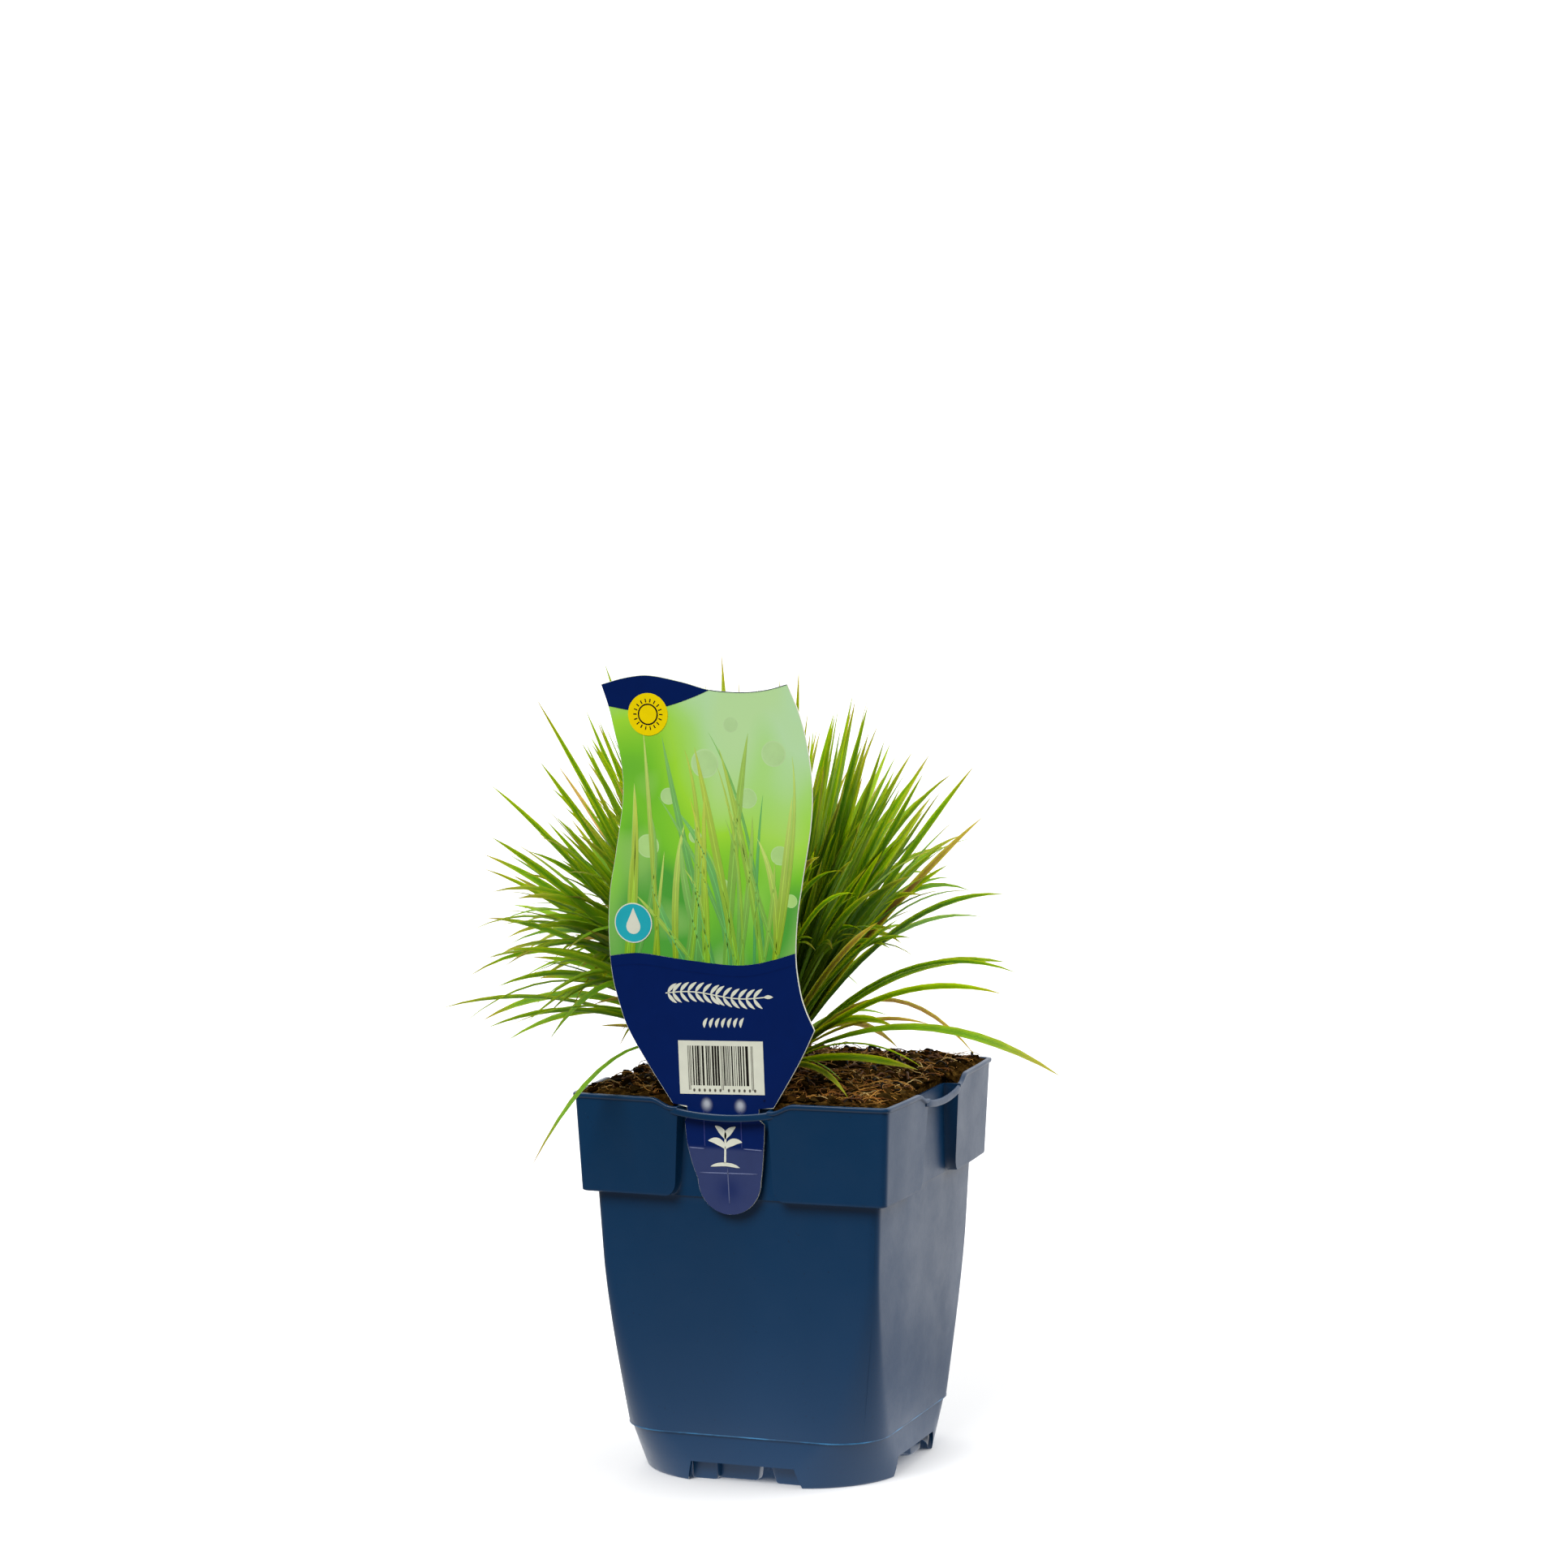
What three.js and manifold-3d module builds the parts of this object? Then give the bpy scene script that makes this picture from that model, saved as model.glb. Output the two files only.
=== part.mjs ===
// A square nursery pot of blue plastic with a tussock of blue hair grass, its soil and its flat plant label.
// Millimetres, +Z up. The origin is on the surface that the pot stands on, under the centre of the pot, and
// the side with the label faces -Y.
import * as THREE from "three";
import { mergeVertices } from "three/addons/utils/BufferGeometryUtils.js";
import Module from "manifold-3d";

const wasm = await Module();
wasm.setup();

// Pot
const POT_HEIGHT = 142;
const RIM_HALF = 60;
const WALL = 1.2;
const GAP = 0.3;
const SOLID_TIDY = 0.06;
const RIM_BEAD = { tall: 1.5, proud: 0.6 };
const COLLAR_BOTTOM = 106;
const COLLAR_HALF_LOW = 57.7;
const BODY_HALF_TOP = 54.2;
const BODY_HALF_LOW = 49.9;
const STEP_HEIGHT = 17.4;
const SKIRT_HALF_TOP = 49.3;
const FOOT_HALF = 49.2;
const FLOOR_BOTTOM = 7.4;
const FLOOR_TOP = 8.6;
const CORNER_SMALL = 4;
const CORNER_STEP = 17.5;
const CORNER_BASE = 36.8;
const CORNER_EVEN_ABOVE = 80;
const COLLAR_CORNER = 4.5;
const BULGE_RIM = 2.5;
const BULGE_COLLAR_LOW = 2;
const BULGE_BODY_TOP = 1;
const CORNER_STEPS = 4;
const SIDE_STEPS = 4;

// Label recess in each side, and the strap that bridges it
const RECESS_FACE = 55.9;
const RECESS_EDGE = { leftTop: -18.7, rightTop: 15.3, leftLow: -21, rightLow: 16.8, flare: 4 };
const RECESS_LIP = 140.6;
const RIM_DIP = { left: -23.5, right: 18.6, z: 139.1 };
const BEYOND = 70;
const ABOVE = 160;
const STRAP = { left: -19.6, right: 16.4, thick: 1.2, tall: 2.6, endTop: 139.6, middleTop: 137.2 };

// Base
const NOTCH = { left: -21.7, right: 22.3, topLeft: -20, topRight: 19.5 };
const SKIRT_WALL = 1.6;
const CHANNEL = { left: 0.2, right: 8 };
const INNER_FOOT = { left: -20.5, step: -8.5, right: 19.5, back: 36.5, front: 44.5, frontDeep: 41.4 };
const DRAIN = { radius: 4.5, out: 24 };

// Soil
const SOIL_EDGE = 138.6;
const SOIL_RISE = 4.6;
const SOIL_RINGS = 5;
const HOLE_GAP = 0.5;

// Plant label
const LABEL_FACE = 58;
const LABEL_THICK = 0.7;

// Grass
const CROWN = { x: -14, y: 0 };
const CROWN_RADIUS = 14;
const TUFTS = 12;
const TUFT_LEAVES = 19;
const TUFT_BASE = { radius: 2.6, top: 1.7, tall: 13, deep: 7 };
const CENTRE_LEAVES = 26;
const GOLDEN_TURN = 2.4;
const CENTRE_SPREAD = 19;
const CENTRE_BASE = { radius: 5, top: 3.4, tall: 13, deep: 7 };
const LEAF_RISE = 150;
const LEAF_REACH = 106;
const LEAF_THICK = 0.7;
const LEAF_TIDY = 0.12;
const GROUND = 143;
const LEAN_LEAST = 11;
const LEAN_MOST = 80;
const TUFT_SWING = 13;
const LABEL_KEEP_CLEAR = { left: -52, right: 38, y: -50 };
const VIEW_TURN = 20.4;

// The leaves that stand out of the tussock's outline: turn in degrees from the viewer's right, anticlockwise
// from above, then reach from the crown, height of the tip over the soil, arch and width.
const LONG_LEAVES = [
  [205, 57, 153, 4, 2.2],
  [160, 56, 143, 2, 1.8],
  [212, 88, 142, 4, 1.8],
  [150, 70, 131, 3, 2],
  [192, 55, 131, 3, 2],
  [168, 69, 119, 3, 2.2],
  [196, 78, 117, 6, 2.4],
  [140, 95, 108, 4, 2],
  [183, 94, 107, 8, 2.4],
  [217, 106, 112, 8, 2],
  [173, 75, 92, 4, 2.2],
  [200, 98, 91, 8, 2.6],
  [165, 104, 78, 10, 2.4],
  [187, 97, 77, 10, 2],
  [223, 130, 79, 16, 2],
  [152, 115, 56, 12, 2.2],
  [178, 97, 57, 12, 2],
  [209, 98, 52, 12, 2.4],
  [157, 87, 30, 10, 2.2],
  [171, 101, 17, 16, 2.4],
  [193, 98, 20, 12, 2],
  [232, 108, 27, 8, 1.6],
  [100, 57, 150, 2, 2.4],
  [62, 26, 144, 1, 1.6],
  [330, 22, 149, 2, 2],
  [40, 23, 134, 2, 2],
  [315, 45, 134, 3, 2.2],
  [25, 40, 120, 3, 2],
  [340, 47, 121, 4, 2.4],
  [50, 84, 115, 3, 2.2],
  [10, 55, 110, 4, 2.2],
  [345, 85, 114, 5, 2.2],
  [30, 76, 92, 4, 2.4],
  [0, 86, 93, 6, 2.2],
  [20, 88, 62, 22, 2.2],
  [352, 94, 66, 16, 2.4],
  [38, 113, 47, 16, 2.2],
  [5, 95, 38, 12, 2.4],
  [355, 98, 36, 16, 2],
  [325, 108, 36, 12, 2.2],
  [43, 72, 12, 8, 1.8],
  [336, 68, 5, 8, 2.6],
  [300, 66, 5, 5, 2],
  [75, 105, 96, 6, 2.2],
  [110, 118, 84, 10, 2.2],
  [128, 112, 66, 12, 2.4],
  [88, 112, 52, 14, 2.4],
  [66, 118, 40, 14, 2.2],
];
// The four outermost tips, in the pot's own axes, which set the plant's spread.
const SPREAD_X = 118;
const SPREAD_Y = 100;
const OUTER_TIPS = [
  { x: -SPREAD_X, y: -44, z: 168, arch: 12, width: 2.4 },
  { x: SPREAD_X, y: -42, z: 153.5, arch: 16, width: 3 },
  { x: -59, y: -SPREAD_Y, z: 122, arch: 24, width: 2.2 },
  { x: 23, y: SPREAD_Y, z: 252, arch: 6, width: 2.2 },
];

const material = {
  pot: new THREE.MeshStandardMaterial({ color: 0x1a3f68, roughness: 0.42, metalness: 0 }),
  soil: new THREE.MeshStandardMaterial({ color: 0x2b1d14, roughness: 0.95, metalness: 0 }),
  label: new THREE.MeshStandardMaterial({ color: 0x1b1a5e, roughness: 0.35, metalness: 0 }),
  grass: new THREE.MeshStandardMaterial({ color: 0x5f8a16, roughness: 0.55, metalness: 0 }),
};

const toRadians = THREE.MathUtils.degToRad;
const between = THREE.MathUtils.lerp;

// A closed solid from a geometry whose faces point out.
function solidOf(geometry) {
  const bare = geometry.clone();
  for (const name of Object.keys(bare.attributes)) {
    if (name !== "position") bare.deleteAttribute(name);
  }
  const merged = mergeVertices(bare, 1e-4);
  return new wasm.Manifold(new wasm.Mesh({
    numProp: 3,
    vertProperties: new Float32Array(merged.attributes.position.array),
    triVerts: new Uint32Array(merged.index.array),
  }));
}

// The solid with any space that it seals filled, and with slivers smaller than the tolerance merged away.
function tidied(solid, tolerance) {
  const bodies = solid.simplify(tolerance).decompose();
  return bodies.reduce((best, body) => (body.volume() > best.volume() ? body : best));
}

function meshOf(solid, name, finish) {
  const { vertProperties, triVerts } = solid.getMesh();
  const geometry = new THREE.BufferGeometry();
  geometry.setAttribute("position", new THREE.BufferAttribute(new Float32Array(vertProperties), 3));
  geometry.setIndex(new THREE.BufferAttribute(new Uint32Array(triVerts), 1));
  const mesh = new THREE.Mesh(geometry, finish);
  mesh.name = name;
  return mesh;
}

// A closed solid through rings of equally many points, each anticlockwise from above, the lowest first.
function loft(rings) {
  const count = rings[0].length;
  const positions = rings.flat(2);
  const index = [];
  for (let r = 0; r + 1 < rings.length; r += 1) {
    for (let i = 0; i < count; i += 1) {
      const j = (i + 1) % count;
      const [a, b, c, d] = [r * count + i, r * count + j, (r + 1) * count + i, (r + 1) * count + j];
      index.push(a, b, d, a, d, c);
    }
  }
  const centreOf = (ring) => ring.reduce((sum, p) => sum.map((v, k) => v + p[k] / count), [0, 0, 0]);
  const low = positions.length / 3;
  positions.push(...centreOf(rings[0]), ...centreOf(rings.at(-1)));
  const top = (rings.length - 1) * count;
  for (let i = 0; i < count; i += 1) {
    const j = (i + 1) % count;
    index.push(low, j, i, low + 1, top + i, top + j);
  }
  const geometry = new THREE.BufferGeometry();
  geometry.setAttribute("position", new THREE.Float32BufferAttribute(positions, 3));
  geometry.setIndex(index);
  return solidOf(geometry);
}

// A square outline with round corners, whose sides bow out by the bulge.
function squareRing(z, half, corner, bulge) {
  const ring = [];
  const straight = half - corner;
  for (let side = 0; side < 4; side += 1) {
    const turn = new THREE.Matrix4().makeRotationZ((side * Math.PI) / 2);
    for (let i = 0; i < SIDE_STEPS; i += 1) {
      const along = between(-straight, straight, i / SIDE_STEPS);
      const bow = bulge * (1 - (along / straight) ** 2);
      ring.push(new THREE.Vector3(along, -half - bow, z).applyMatrix4(turn).toArray());
    }
    for (let i = 0; i < CORNER_STEPS; i += 1) {
      const angle = -Math.PI / 2 + (i / CORNER_STEPS) * (Math.PI / 2);
      const x = straight + corner * Math.cos(angle);
      const y = -straight + corner * Math.sin(angle);
      ring.push(new THREE.Vector3(x, y, z).applyMatrix4(turn).toArray());
    }
  }
  return ring;
}

// The corner radius shrinks upwards from the step and is even in the upper half.
function bodyCorner(z) {
  const low = Math.max(0, (CORNER_EVEN_ABOVE - z) / (CORNER_EVEN_ABOVE - STEP_HEIGHT));
  return CORNER_SMALL + (CORNER_STEP - CORNER_SMALL) * low ** 1.5;
}

function bodyRing(z, inset) {
  const up = (z - STEP_HEIGHT) / (COLLAR_BOTTOM - STEP_HEIGHT);
  const half = between(BODY_HALF_LOW, BODY_HALF_TOP, up);
  const corner = Math.max(bodyCorner(z) - inset, 2);
  return squareRing(z, half - inset, corner, BULGE_BODY_TOP * Math.sqrt(Math.max(up, 0)));
}

function skirtRing(z, inset) {
  const up = z / STEP_HEIGHT;
  const corner = between(CORNER_BASE, CORNER_STEP, up) - inset;
  return squareRing(z, between(FOOT_HALF, SKIRT_HALF_TOP, up) - inset, corner, 0);
}

function collarRing(z, inset, proud = 0) {
  const up = (z - COLLAR_BOTTOM) / (POT_HEIGHT - COLLAR_BOTTOM);
  const half = between(COLLAR_HALF_LOW, RIM_HALF - RIM_BEAD.proud, up) + proud;
  const bulge = between(BULGE_COLLAR_LOW, BULGE_RIM, up);
  return squareRing(z, half - inset, COLLAR_CORNER - inset, bulge);
}

const BODY_LEVELS = [30, 45, 60, CORNER_EVEN_ABOVE];
const RIM_BEAD_LOW = POT_HEIGHT - RIM_BEAD.tall;

function potOutside() {
  return loft([
    skirtRing(0, 0),
    skirtRing(STEP_HEIGHT, 0),
    bodyRing(STEP_HEIGHT + 0.2, 0),
    ...BODY_LEVELS.map((z) => bodyRing(z, 0)),
    bodyRing(COLLAR_BOTTOM, 0),
    collarRing(COLLAR_BOTTOM + 0.2, 0),
    collarRing(RIM_BEAD_LOW - 0.4, 0),
    collarRing(RIM_BEAD_LOW, 0, RIM_BEAD.proud),
    collarRing(POT_HEIGHT, 0, RIM_BEAD.proud),
  ]);
}

// The space inside the pot, drawn in by the inset, with its jog under the collar.
function inside(inset, floor, jog, upper) {
  return loft([
    skirtRing(floor, inset),
    skirtRing(STEP_HEIGHT, inset),
    bodyRing(STEP_HEIGHT + 0.2, inset),
    ...BODY_LEVELS.map((z) => bodyRing(z, inset)),
    bodyRing(jog, inset),
    collarRing(jog + 0.2, inset),
    ...upper,
  ]);
}

function box(x0, x1, y0, y1, z0, z1) {
  const geometry = new THREE.BoxGeometry(x1 - x0, y1 - y0, z1 - z0);
  geometry.translate((x0 + x1) / 2, (y0 + y1) / 2, (z0 + z1) / 2);
  return solidOf(geometry);
}

// A flat outline in X and Z, pushed through from one Y to another.
function plate(points, y0, y1) {
  const geometry = new THREE.ExtrudeGeometry(
    new THREE.Shape(points.map(([x, z]) => new THREE.Vector2(x, z))),
    { depth: y1 - y0, bevelEnabled: false },
  );
  geometry.rotateX(Math.PI / 2);
  geometry.translate(0, y1, 0);
  return solidOf(geometry);
}

function cylinder(x, y, radius, z0, z1, sides) {
  const geometry = new THREE.CylinderGeometry(radius, radius, z1 - z0, sides);
  geometry.rotateX(Math.PI / 2);
  geometry.translate(x, y, (z0 + z1) / 2);
  return solidOf(geometry);
}

// A solid of the front side, repeated on all four sides.
function onEachSide(solid) {
  return wasm.Manifold.union([0, 90, 180, 270].map((turn) => solid.rotate([0, 0, turn])));
}

// The room in front of the recess face in the front side, grown by the inset. Its lower corners flare out.
function recess(inset) {
  const { leftTop, rightTop, leftLow, rightLow, flare } = RECESS_EDGE;
  const low = COLLAR_BOTTOM + inset;
  const bottom = COLLAR_BOTTOM - 2;
  const outline = [
    [leftTop - inset, ABOVE],
    [leftTop - inset, POT_HEIGHT],
    [leftLow - inset, low + 5],
    [leftLow - inset - flare * 0.3, low + 1.8],
    [leftLow - inset - flare, low],
    [leftLow - inset - flare, bottom],
    [rightLow + inset + flare, bottom],
    [rightLow + inset + flare, low],
    [rightLow + inset + flare * 0.3, low + 1.8],
    [rightLow + inset, low + 5],
    [rightTop + inset, POT_HEIGHT],
    [rightTop + inset, ABOVE],
  ];
  return plate(outline, -BEYOND, -RECESS_FACE + inset);
}

// A thin bar that carries the collar's surface on over the recess and sags in its middle.
function strap() {
  const { left, right, thick, tall, endTop, middleTop } = STRAP;
  const rings = [];
  for (let i = 0; i <= 8; i += 1) {
    const across = -1 + i / 4;
    const x = between(left, right, i / 8);
    const top = between(middleTop, endTop, across ** 2);
    const front = -between(RIM_HALF + BULGE_RIM, RIM_HALF + BULGE_RIM - 0.5, across ** 2);
    rings.push([
      [x, front, top - tall],
      [x, front, top],
      [x, front + thick, top],
      [x, front + thick, top - tall],
    ].reverse());
  }
  return loft(rings);
}

// The cut-out in the skirt between two corner feet, wider at the ground.
function skirtNotch() {
  const { left, right, topLeft, topRight } = NOTCH;
  return plate(
    [[left, -1], [topLeft, FLOOR_BOTTOM], [topRight, FLOOR_BOTTOM], [right, -1]],
    -BEYOND,
    -INNER_FOOT.front,
  );
}

// The feet behind a cut-out: a stepped one on the left and a plain one on the right of the drain channel.
function innerFeet() {
  const { left, step, right, back, front, frontDeep } = INNER_FOOT;
  const top = FLOOR_BOTTOM + 0.4;
  return box(left, step, -front, -back, 0, top)
    .add(box(step - 0.5, CHANNEL.left, -frontDeep, -back, 0, top))
    .add(box(CHANNEL.right, right, -frontDeep, -back, 0, top));
}

function pot() {
  const collarSteps = [collarRing(POT_HEIGHT + 1, WALL)];
  const cavity = inside(WALL, FLOOR_TOP, COLLAR_BOTTOM + WALL, collarSteps)
    .subtract(onEachSide(recess(WALL)));
  const under = loft([skirtRing(-1, SKIRT_WALL), skirtRing(FLOOR_BOTTOM, SKIRT_WALL)]);
  const lip = box(RECESS_EDGE.leftTop, RECESS_EDGE.rightTop, -BEYOND, -RECESS_FACE + 3, RECESS_LIP, ABOVE);
  const dip = box(RIM_DIP.left, RIM_DIP.right, -BEYOND, -RECESS_FACE - 0.1, RIM_DIP.z, ABOVE);
  const drains = [0, 90, 180, 270].map((turn) => {
    const angle = toRadians(turn);
    const [x, y] = [DRAIN.out * Math.cos(angle), DRAIN.out * Math.sin(angle)];
    return cylinder(x, y, DRAIN.radius, 0, FLOOR_TOP + 1, 12);
  });
  const whole = potOutside()
    .subtract(onEachSide(recess(0)))
    .subtract(cavity)
    .subtract(onEachSide(lip.add(dip)))
    .subtract(under)
    .subtract(onEachSide(skirtNotch()))
    .add(onEachSide(strap()))
    .add(onEachSide(innerFeet()))
    .subtract(wasm.Manifold.union(drains));
  return tidied(whole, SOLID_TIDY);
}

// The soil's height over its edge, from 1 at the edge of the pot to 0 in the middle.
function soilHeight(out, x, y) {
  const lumps = 0.5 * Math.sin(x * 0.31 + 1) * Math.cos(y * 0.27) + 0.4 * Math.sin(x * 0.13 - y * 0.21);
  return SOIL_EDGE + (1 - out ** 3) * (SOIL_RISE + lumps);
}

function soil() {
  const inset = WALL + GAP;
  const edge = collarRing(SOIL_EDGE, inset);
  const dome = [];
  for (let i = 1; i < SOIL_RINGS; i += 1) {
    const out = 1 - i / SOIL_RINGS;
    dome.push(edge.map(([x, y]) => [x * out, y * out, soilHeight(out, x * out, y * out)]));
  }
  return inside(inset, FLOOR_TOP + GAP, COLLAR_BOTTOM + inset, [edge, ...dome])
    .subtract(onEachSide(recess(inset)));
}

// The label's outline: a waving head, shoulders that rest on the rim beside the strap, and a tongue below it.
function labelOutline() {
  const left = new THREE.SplineCurve([
    [-21.7, 139.6], [-30.8, 153.1], [-38.1, 165.1], [-44.5, 185.4], [-45.6, 200], [-42.5, 228],
    [-39.5, 248.3], [-40.2, 263], [-47.3, 289.4],
  ].map(([x, z]) => new THREE.Vector2(x, z))).getPoints(13);
  const top = new THREE.SplineCurve([
    [-47.3, 289.4], [-28.9, 292.9], [-5.5, 288.1], [6.5, 287.5], [23.3, 290.6],
  ].map(([x, z]) => new THREE.Vector2(x, z))).getPoints(10);
  const right = new THREE.SplineCurve([
    [23.3, 290.6], [30.6, 268.8], [32.3, 254.5], [28.7, 222.9], [25.6, 194], [27.3, 181], [32.4, 168.3],
  ].map(([x, z]) => new THREE.Vector2(x, z))).getPoints(12);
  const tongue = new THREE.SplineCurve([
    [13.2, 134.5], [12.3, 118.6], [8.4, 105.9], [0.2, 100.6], [-8.3, 105], [-14.3, 117.8], [-17, 134.5],
  ].map(([x, z]) => new THREE.Vector2(x, z))).getPoints(12);
  const points = [...left, ...top.slice(1), ...right.slice(1)].map((p) => [p.x, p.y]);
  points.push([16.6, 139.6], [11.2, 139.4], [10.9, 135.6]);
  points.push(...tongue.map((p) => [p.x, p.y]), [-16.1, 135.6], [-16.3, 139.4]);
  return points;
}

function plantLabel() {
  return plate(labelOutline(), -LABEL_FACE - LABEL_THICK / 2, -LABEL_FACE + LABEL_THICK / 2);
}

// An even draw between 0 and 1 that is the same each time for a tuft, a leaf and a use.
function draw(tuft, leaf, use) {
  const value = Math.sin(tuft * 37.719 + leaf * 12.9898 + use * 78.233) * 43758.5453;
  return value - Math.floor(value);
}

// One leaf, straight in plan with a slight bow, arched in height, keeled below and pointed at its tip.
function leaf({ root, tip, arch, bow, width, twist }) {
  const along = tip.clone().sub(root);
  const flat = new THREE.Vector3(along.x, along.y, 0).normalize();
  const side = new THREE.Vector3(-flat.y, flat.x, 0);
  const stations = arch > 9 ? [0, 0.28, 0.55, 0.8] : [0, 0.36, 0.72];
  const positions = [];
  for (const t of stations) {
    const hump = 4 * t * (1 - t);
    const centre = root.clone().addScaledVector(along, t).addScaledVector(side, bow * hump);
    centre.z += arch * hump;
    const heading = along.clone().addScaledVector(side, bow * 4 * (1 - 2 * t));
    heading.z += arch * 4 * (1 - 2 * t);
    heading.normalize();
    const across = side.clone().addScaledVector(heading, -side.dot(heading)).normalize();
    across.applyAxisAngle(heading, toRadians(twist) * (0.3 + 0.7 * t));
    const under = heading.clone().cross(across).normalize();
    const half = (width / 2) * (0.45 + 2.1 * t - 2 * t * t);
    positions.push(
      ...centre.clone().addScaledVector(across, half).toArray(),
      ...centre.clone().addScaledVector(across, -half).toArray(),
      ...centre.clone().addScaledVector(under, -LEAF_THICK).toArray(),
    );
  }
  positions.push(...tip.toArray());
  const index = [0, 2, 1];
  const last = stations.length - 1;
  for (let s = 0; s < last; s += 1) {
    for (let i = 0; i < 3; i += 1) {
      const j = (i + 1) % 3;
      const [a, b, c, d] = [3 * s + i, 3 * s + j, 3 * s + 3 + i, 3 * s + 3 + j];
      index.push(a, b, d, a, d, c);
    }
  }
  for (let i = 0; i < 3; i += 1) index.push(3 * last + i, 3 * last + ((i + 1) % 3), 3 * last + 3);
  const geometry = new THREE.BufferGeometry();
  geometry.setAttribute("position", new THREE.Float32BufferAttribute(positions, 3));
  geometry.setIndex(index);
  return solidOf(geometry);
}

// The middle line of a tuft, as an angle about the crown.
const tuftAngle = (tuft) => (tuft * 360) / TUFTS;

function tuftPlace(tuft) {
  const angle = toRadians(tuftAngle(tuft));
  return [CROWN.x + CROWN_RADIUS * Math.cos(angle), CROWN.y + CROWN_RADIUS * Math.sin(angle)];
}

// A tip at an angle, reach and height, held in its own tuft's sector and clear of the label.
function tipAt(tuft, angle, reach, height) {
  const swing = THREE.MathUtils.euclideanModulo(angle - tuftAngle(tuft) + 180, 360) - 180;
  const held = toRadians(tuftAngle(tuft) + THREE.MathUtils.clamp(swing, -TUFT_SWING, TUFT_SWING));
  const out = [reach * Math.cos(held), reach * Math.sin(held)];
  const tip = new THREE.Vector3(CROWN.x + out[0], CROWN.y + out[1], GROUND + height);
  const clear = LABEL_KEEP_CLEAR;
  if (tip.y < clear.y) {
    const crossing = CROWN.x + ((tip.x - CROWN.x) * clear.y) / tip.y;
    if (crossing > clear.left && crossing < clear.right) {
      tip.x = crossing;
      tip.y = clear.y;
    }
  }
  tip.x = THREE.MathUtils.clamp(tip.x, 2 - SPREAD_X, SPREAD_X - 2);
  tip.y = THREE.MathUtils.clamp(tip.y, 2 - SPREAD_Y, SPREAD_Y - 2);
  return tip;
}

// A leaf's root in the sheathed base. The flatter a leaf, the lower and the nearer to its own side it starts.
function rootAt(x, y, base, tip) {
  const heading = Math.atan2(tip.y - y, tip.x - x);
  const flatness = Math.atan2(Math.hypot(tip.x - x, tip.y - y), tip.z - GROUND) / (Math.PI / 2);
  const out = base.top * 0.7 * flatness;
  const up = between(base.tall - 1, 3, flatness);
  return new THREE.Vector3(x + out * Math.cos(heading), y + out * Math.sin(heading), GROUND + up);
}

function tuftLeaves(tuft) {
  const [x, y] = tuftPlace(tuft);
  const leaves = [];
  for (let i = 0; i < TUFT_LEAVES; i += 1) {
    const lean = between(LEAN_LEAST, LEAN_MOST, (i + draw(tuft, i, 4)) / TUFT_LEAVES);
    const size = between(0.6, 0.98, draw(tuft, i, 5));
    const reach = CROWN_RADIUS + (LEAF_REACH - CROWN_RADIUS) * size * Math.sin(toRadians(lean));
    const height = LEAF_RISE * size * Math.cos(toRadians(lean));
    const swing = between(-TUFT_SWING, TUFT_SWING, draw(tuft, i, 6));
    const tip = tipAt(tuft, tuftAngle(tuft) + swing, reach, height);
    leaves.push({
      root: rootAt(x, y, TUFT_BASE, tip),
      tip,
      arch: between(2, 16, draw(tuft, i, 7)) * Math.sin(toRadians(lean)),
      bow: between(0, -2.5, draw(tuft, i, 8)) * Math.sign(swing) * Math.sin(toRadians(lean)),
      width: between(1.5, 2.5, draw(tuft, i, 9)),
      twist: between(-55, 55, draw(tuft, i, 10)),
    });
  }
  return leaves;
}

function nearestTuft(angle) {
  return Math.round((THREE.MathUtils.euclideanModulo(angle, 360) * TUFTS) / 360) % TUFTS;
}

function namedLeaves(tuft) {
  const [x, y] = tuftPlace(tuft);
  const leaves = [];
  LONG_LEAVES.forEach(([turn, reach, height, arch, width], i) => {
    const angle = turn + VIEW_TURN;
    if (nearestTuft(angle) !== tuft) return;
    const tip = tipAt(tuft, angle, reach, height);
    const twist = between(-40, 40, draw(tuft, 100 + i, 10));
    leaves.push({ root: rootAt(x, y, TUFT_BASE, tip), tip, arch, bow: 0, width, twist });
  });
  OUTER_TIPS.forEach((outer, i) => {
    const angle = THREE.MathUtils.radToDeg(Math.atan2(outer.y - CROWN.y, outer.x - CROWN.x));
    if (nearestTuft(angle) !== tuft) return;
    const tip = new THREE.Vector3(outer.x, outer.y, outer.z);
    const root = rootAt(x, y, TUFT_BASE, tip);
    leaves.push({ root, tip, arch: outer.arch, bow: 0, width: outer.width, twist: 0 });
  });
  return leaves;
}

function centreLeaves() {
  const leaves = [];
  for (let i = 0; i < CENTRE_LEAVES; i += 1) {
    const angle = GOLDEN_TURN * i;
    const out = between(3, CENTRE_SPREAD, draw(TUFTS, i, 4));
    const height = between(0.5, 0.97, draw(TUFTS, i, 5)) * LEAF_RISE;
    const reach = (out * height) / LEAF_RISE;
    const start = CENTRE_BASE.top * 0.85 * Math.sqrt((i + 0.5) / CENTRE_LEAVES);
    const [side, away] = [Math.cos(angle), Math.sin(angle)];
    leaves.push({
      root: new THREE.Vector3(CROWN.x + start * side, CROWN.y + start * away, GROUND + CENTRE_BASE.tall - 2),
      tip: new THREE.Vector3(CROWN.x + reach * side, CROWN.y + reach * away, GROUND + height),
      arch: 1,
      bow: 0,
      width: between(1.5, 2.4, draw(TUFTS, i, 9)),
      twist: between(-80, 80, draw(TUFTS, i, 10)),
    });
  }
  return leaves;
}

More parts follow.
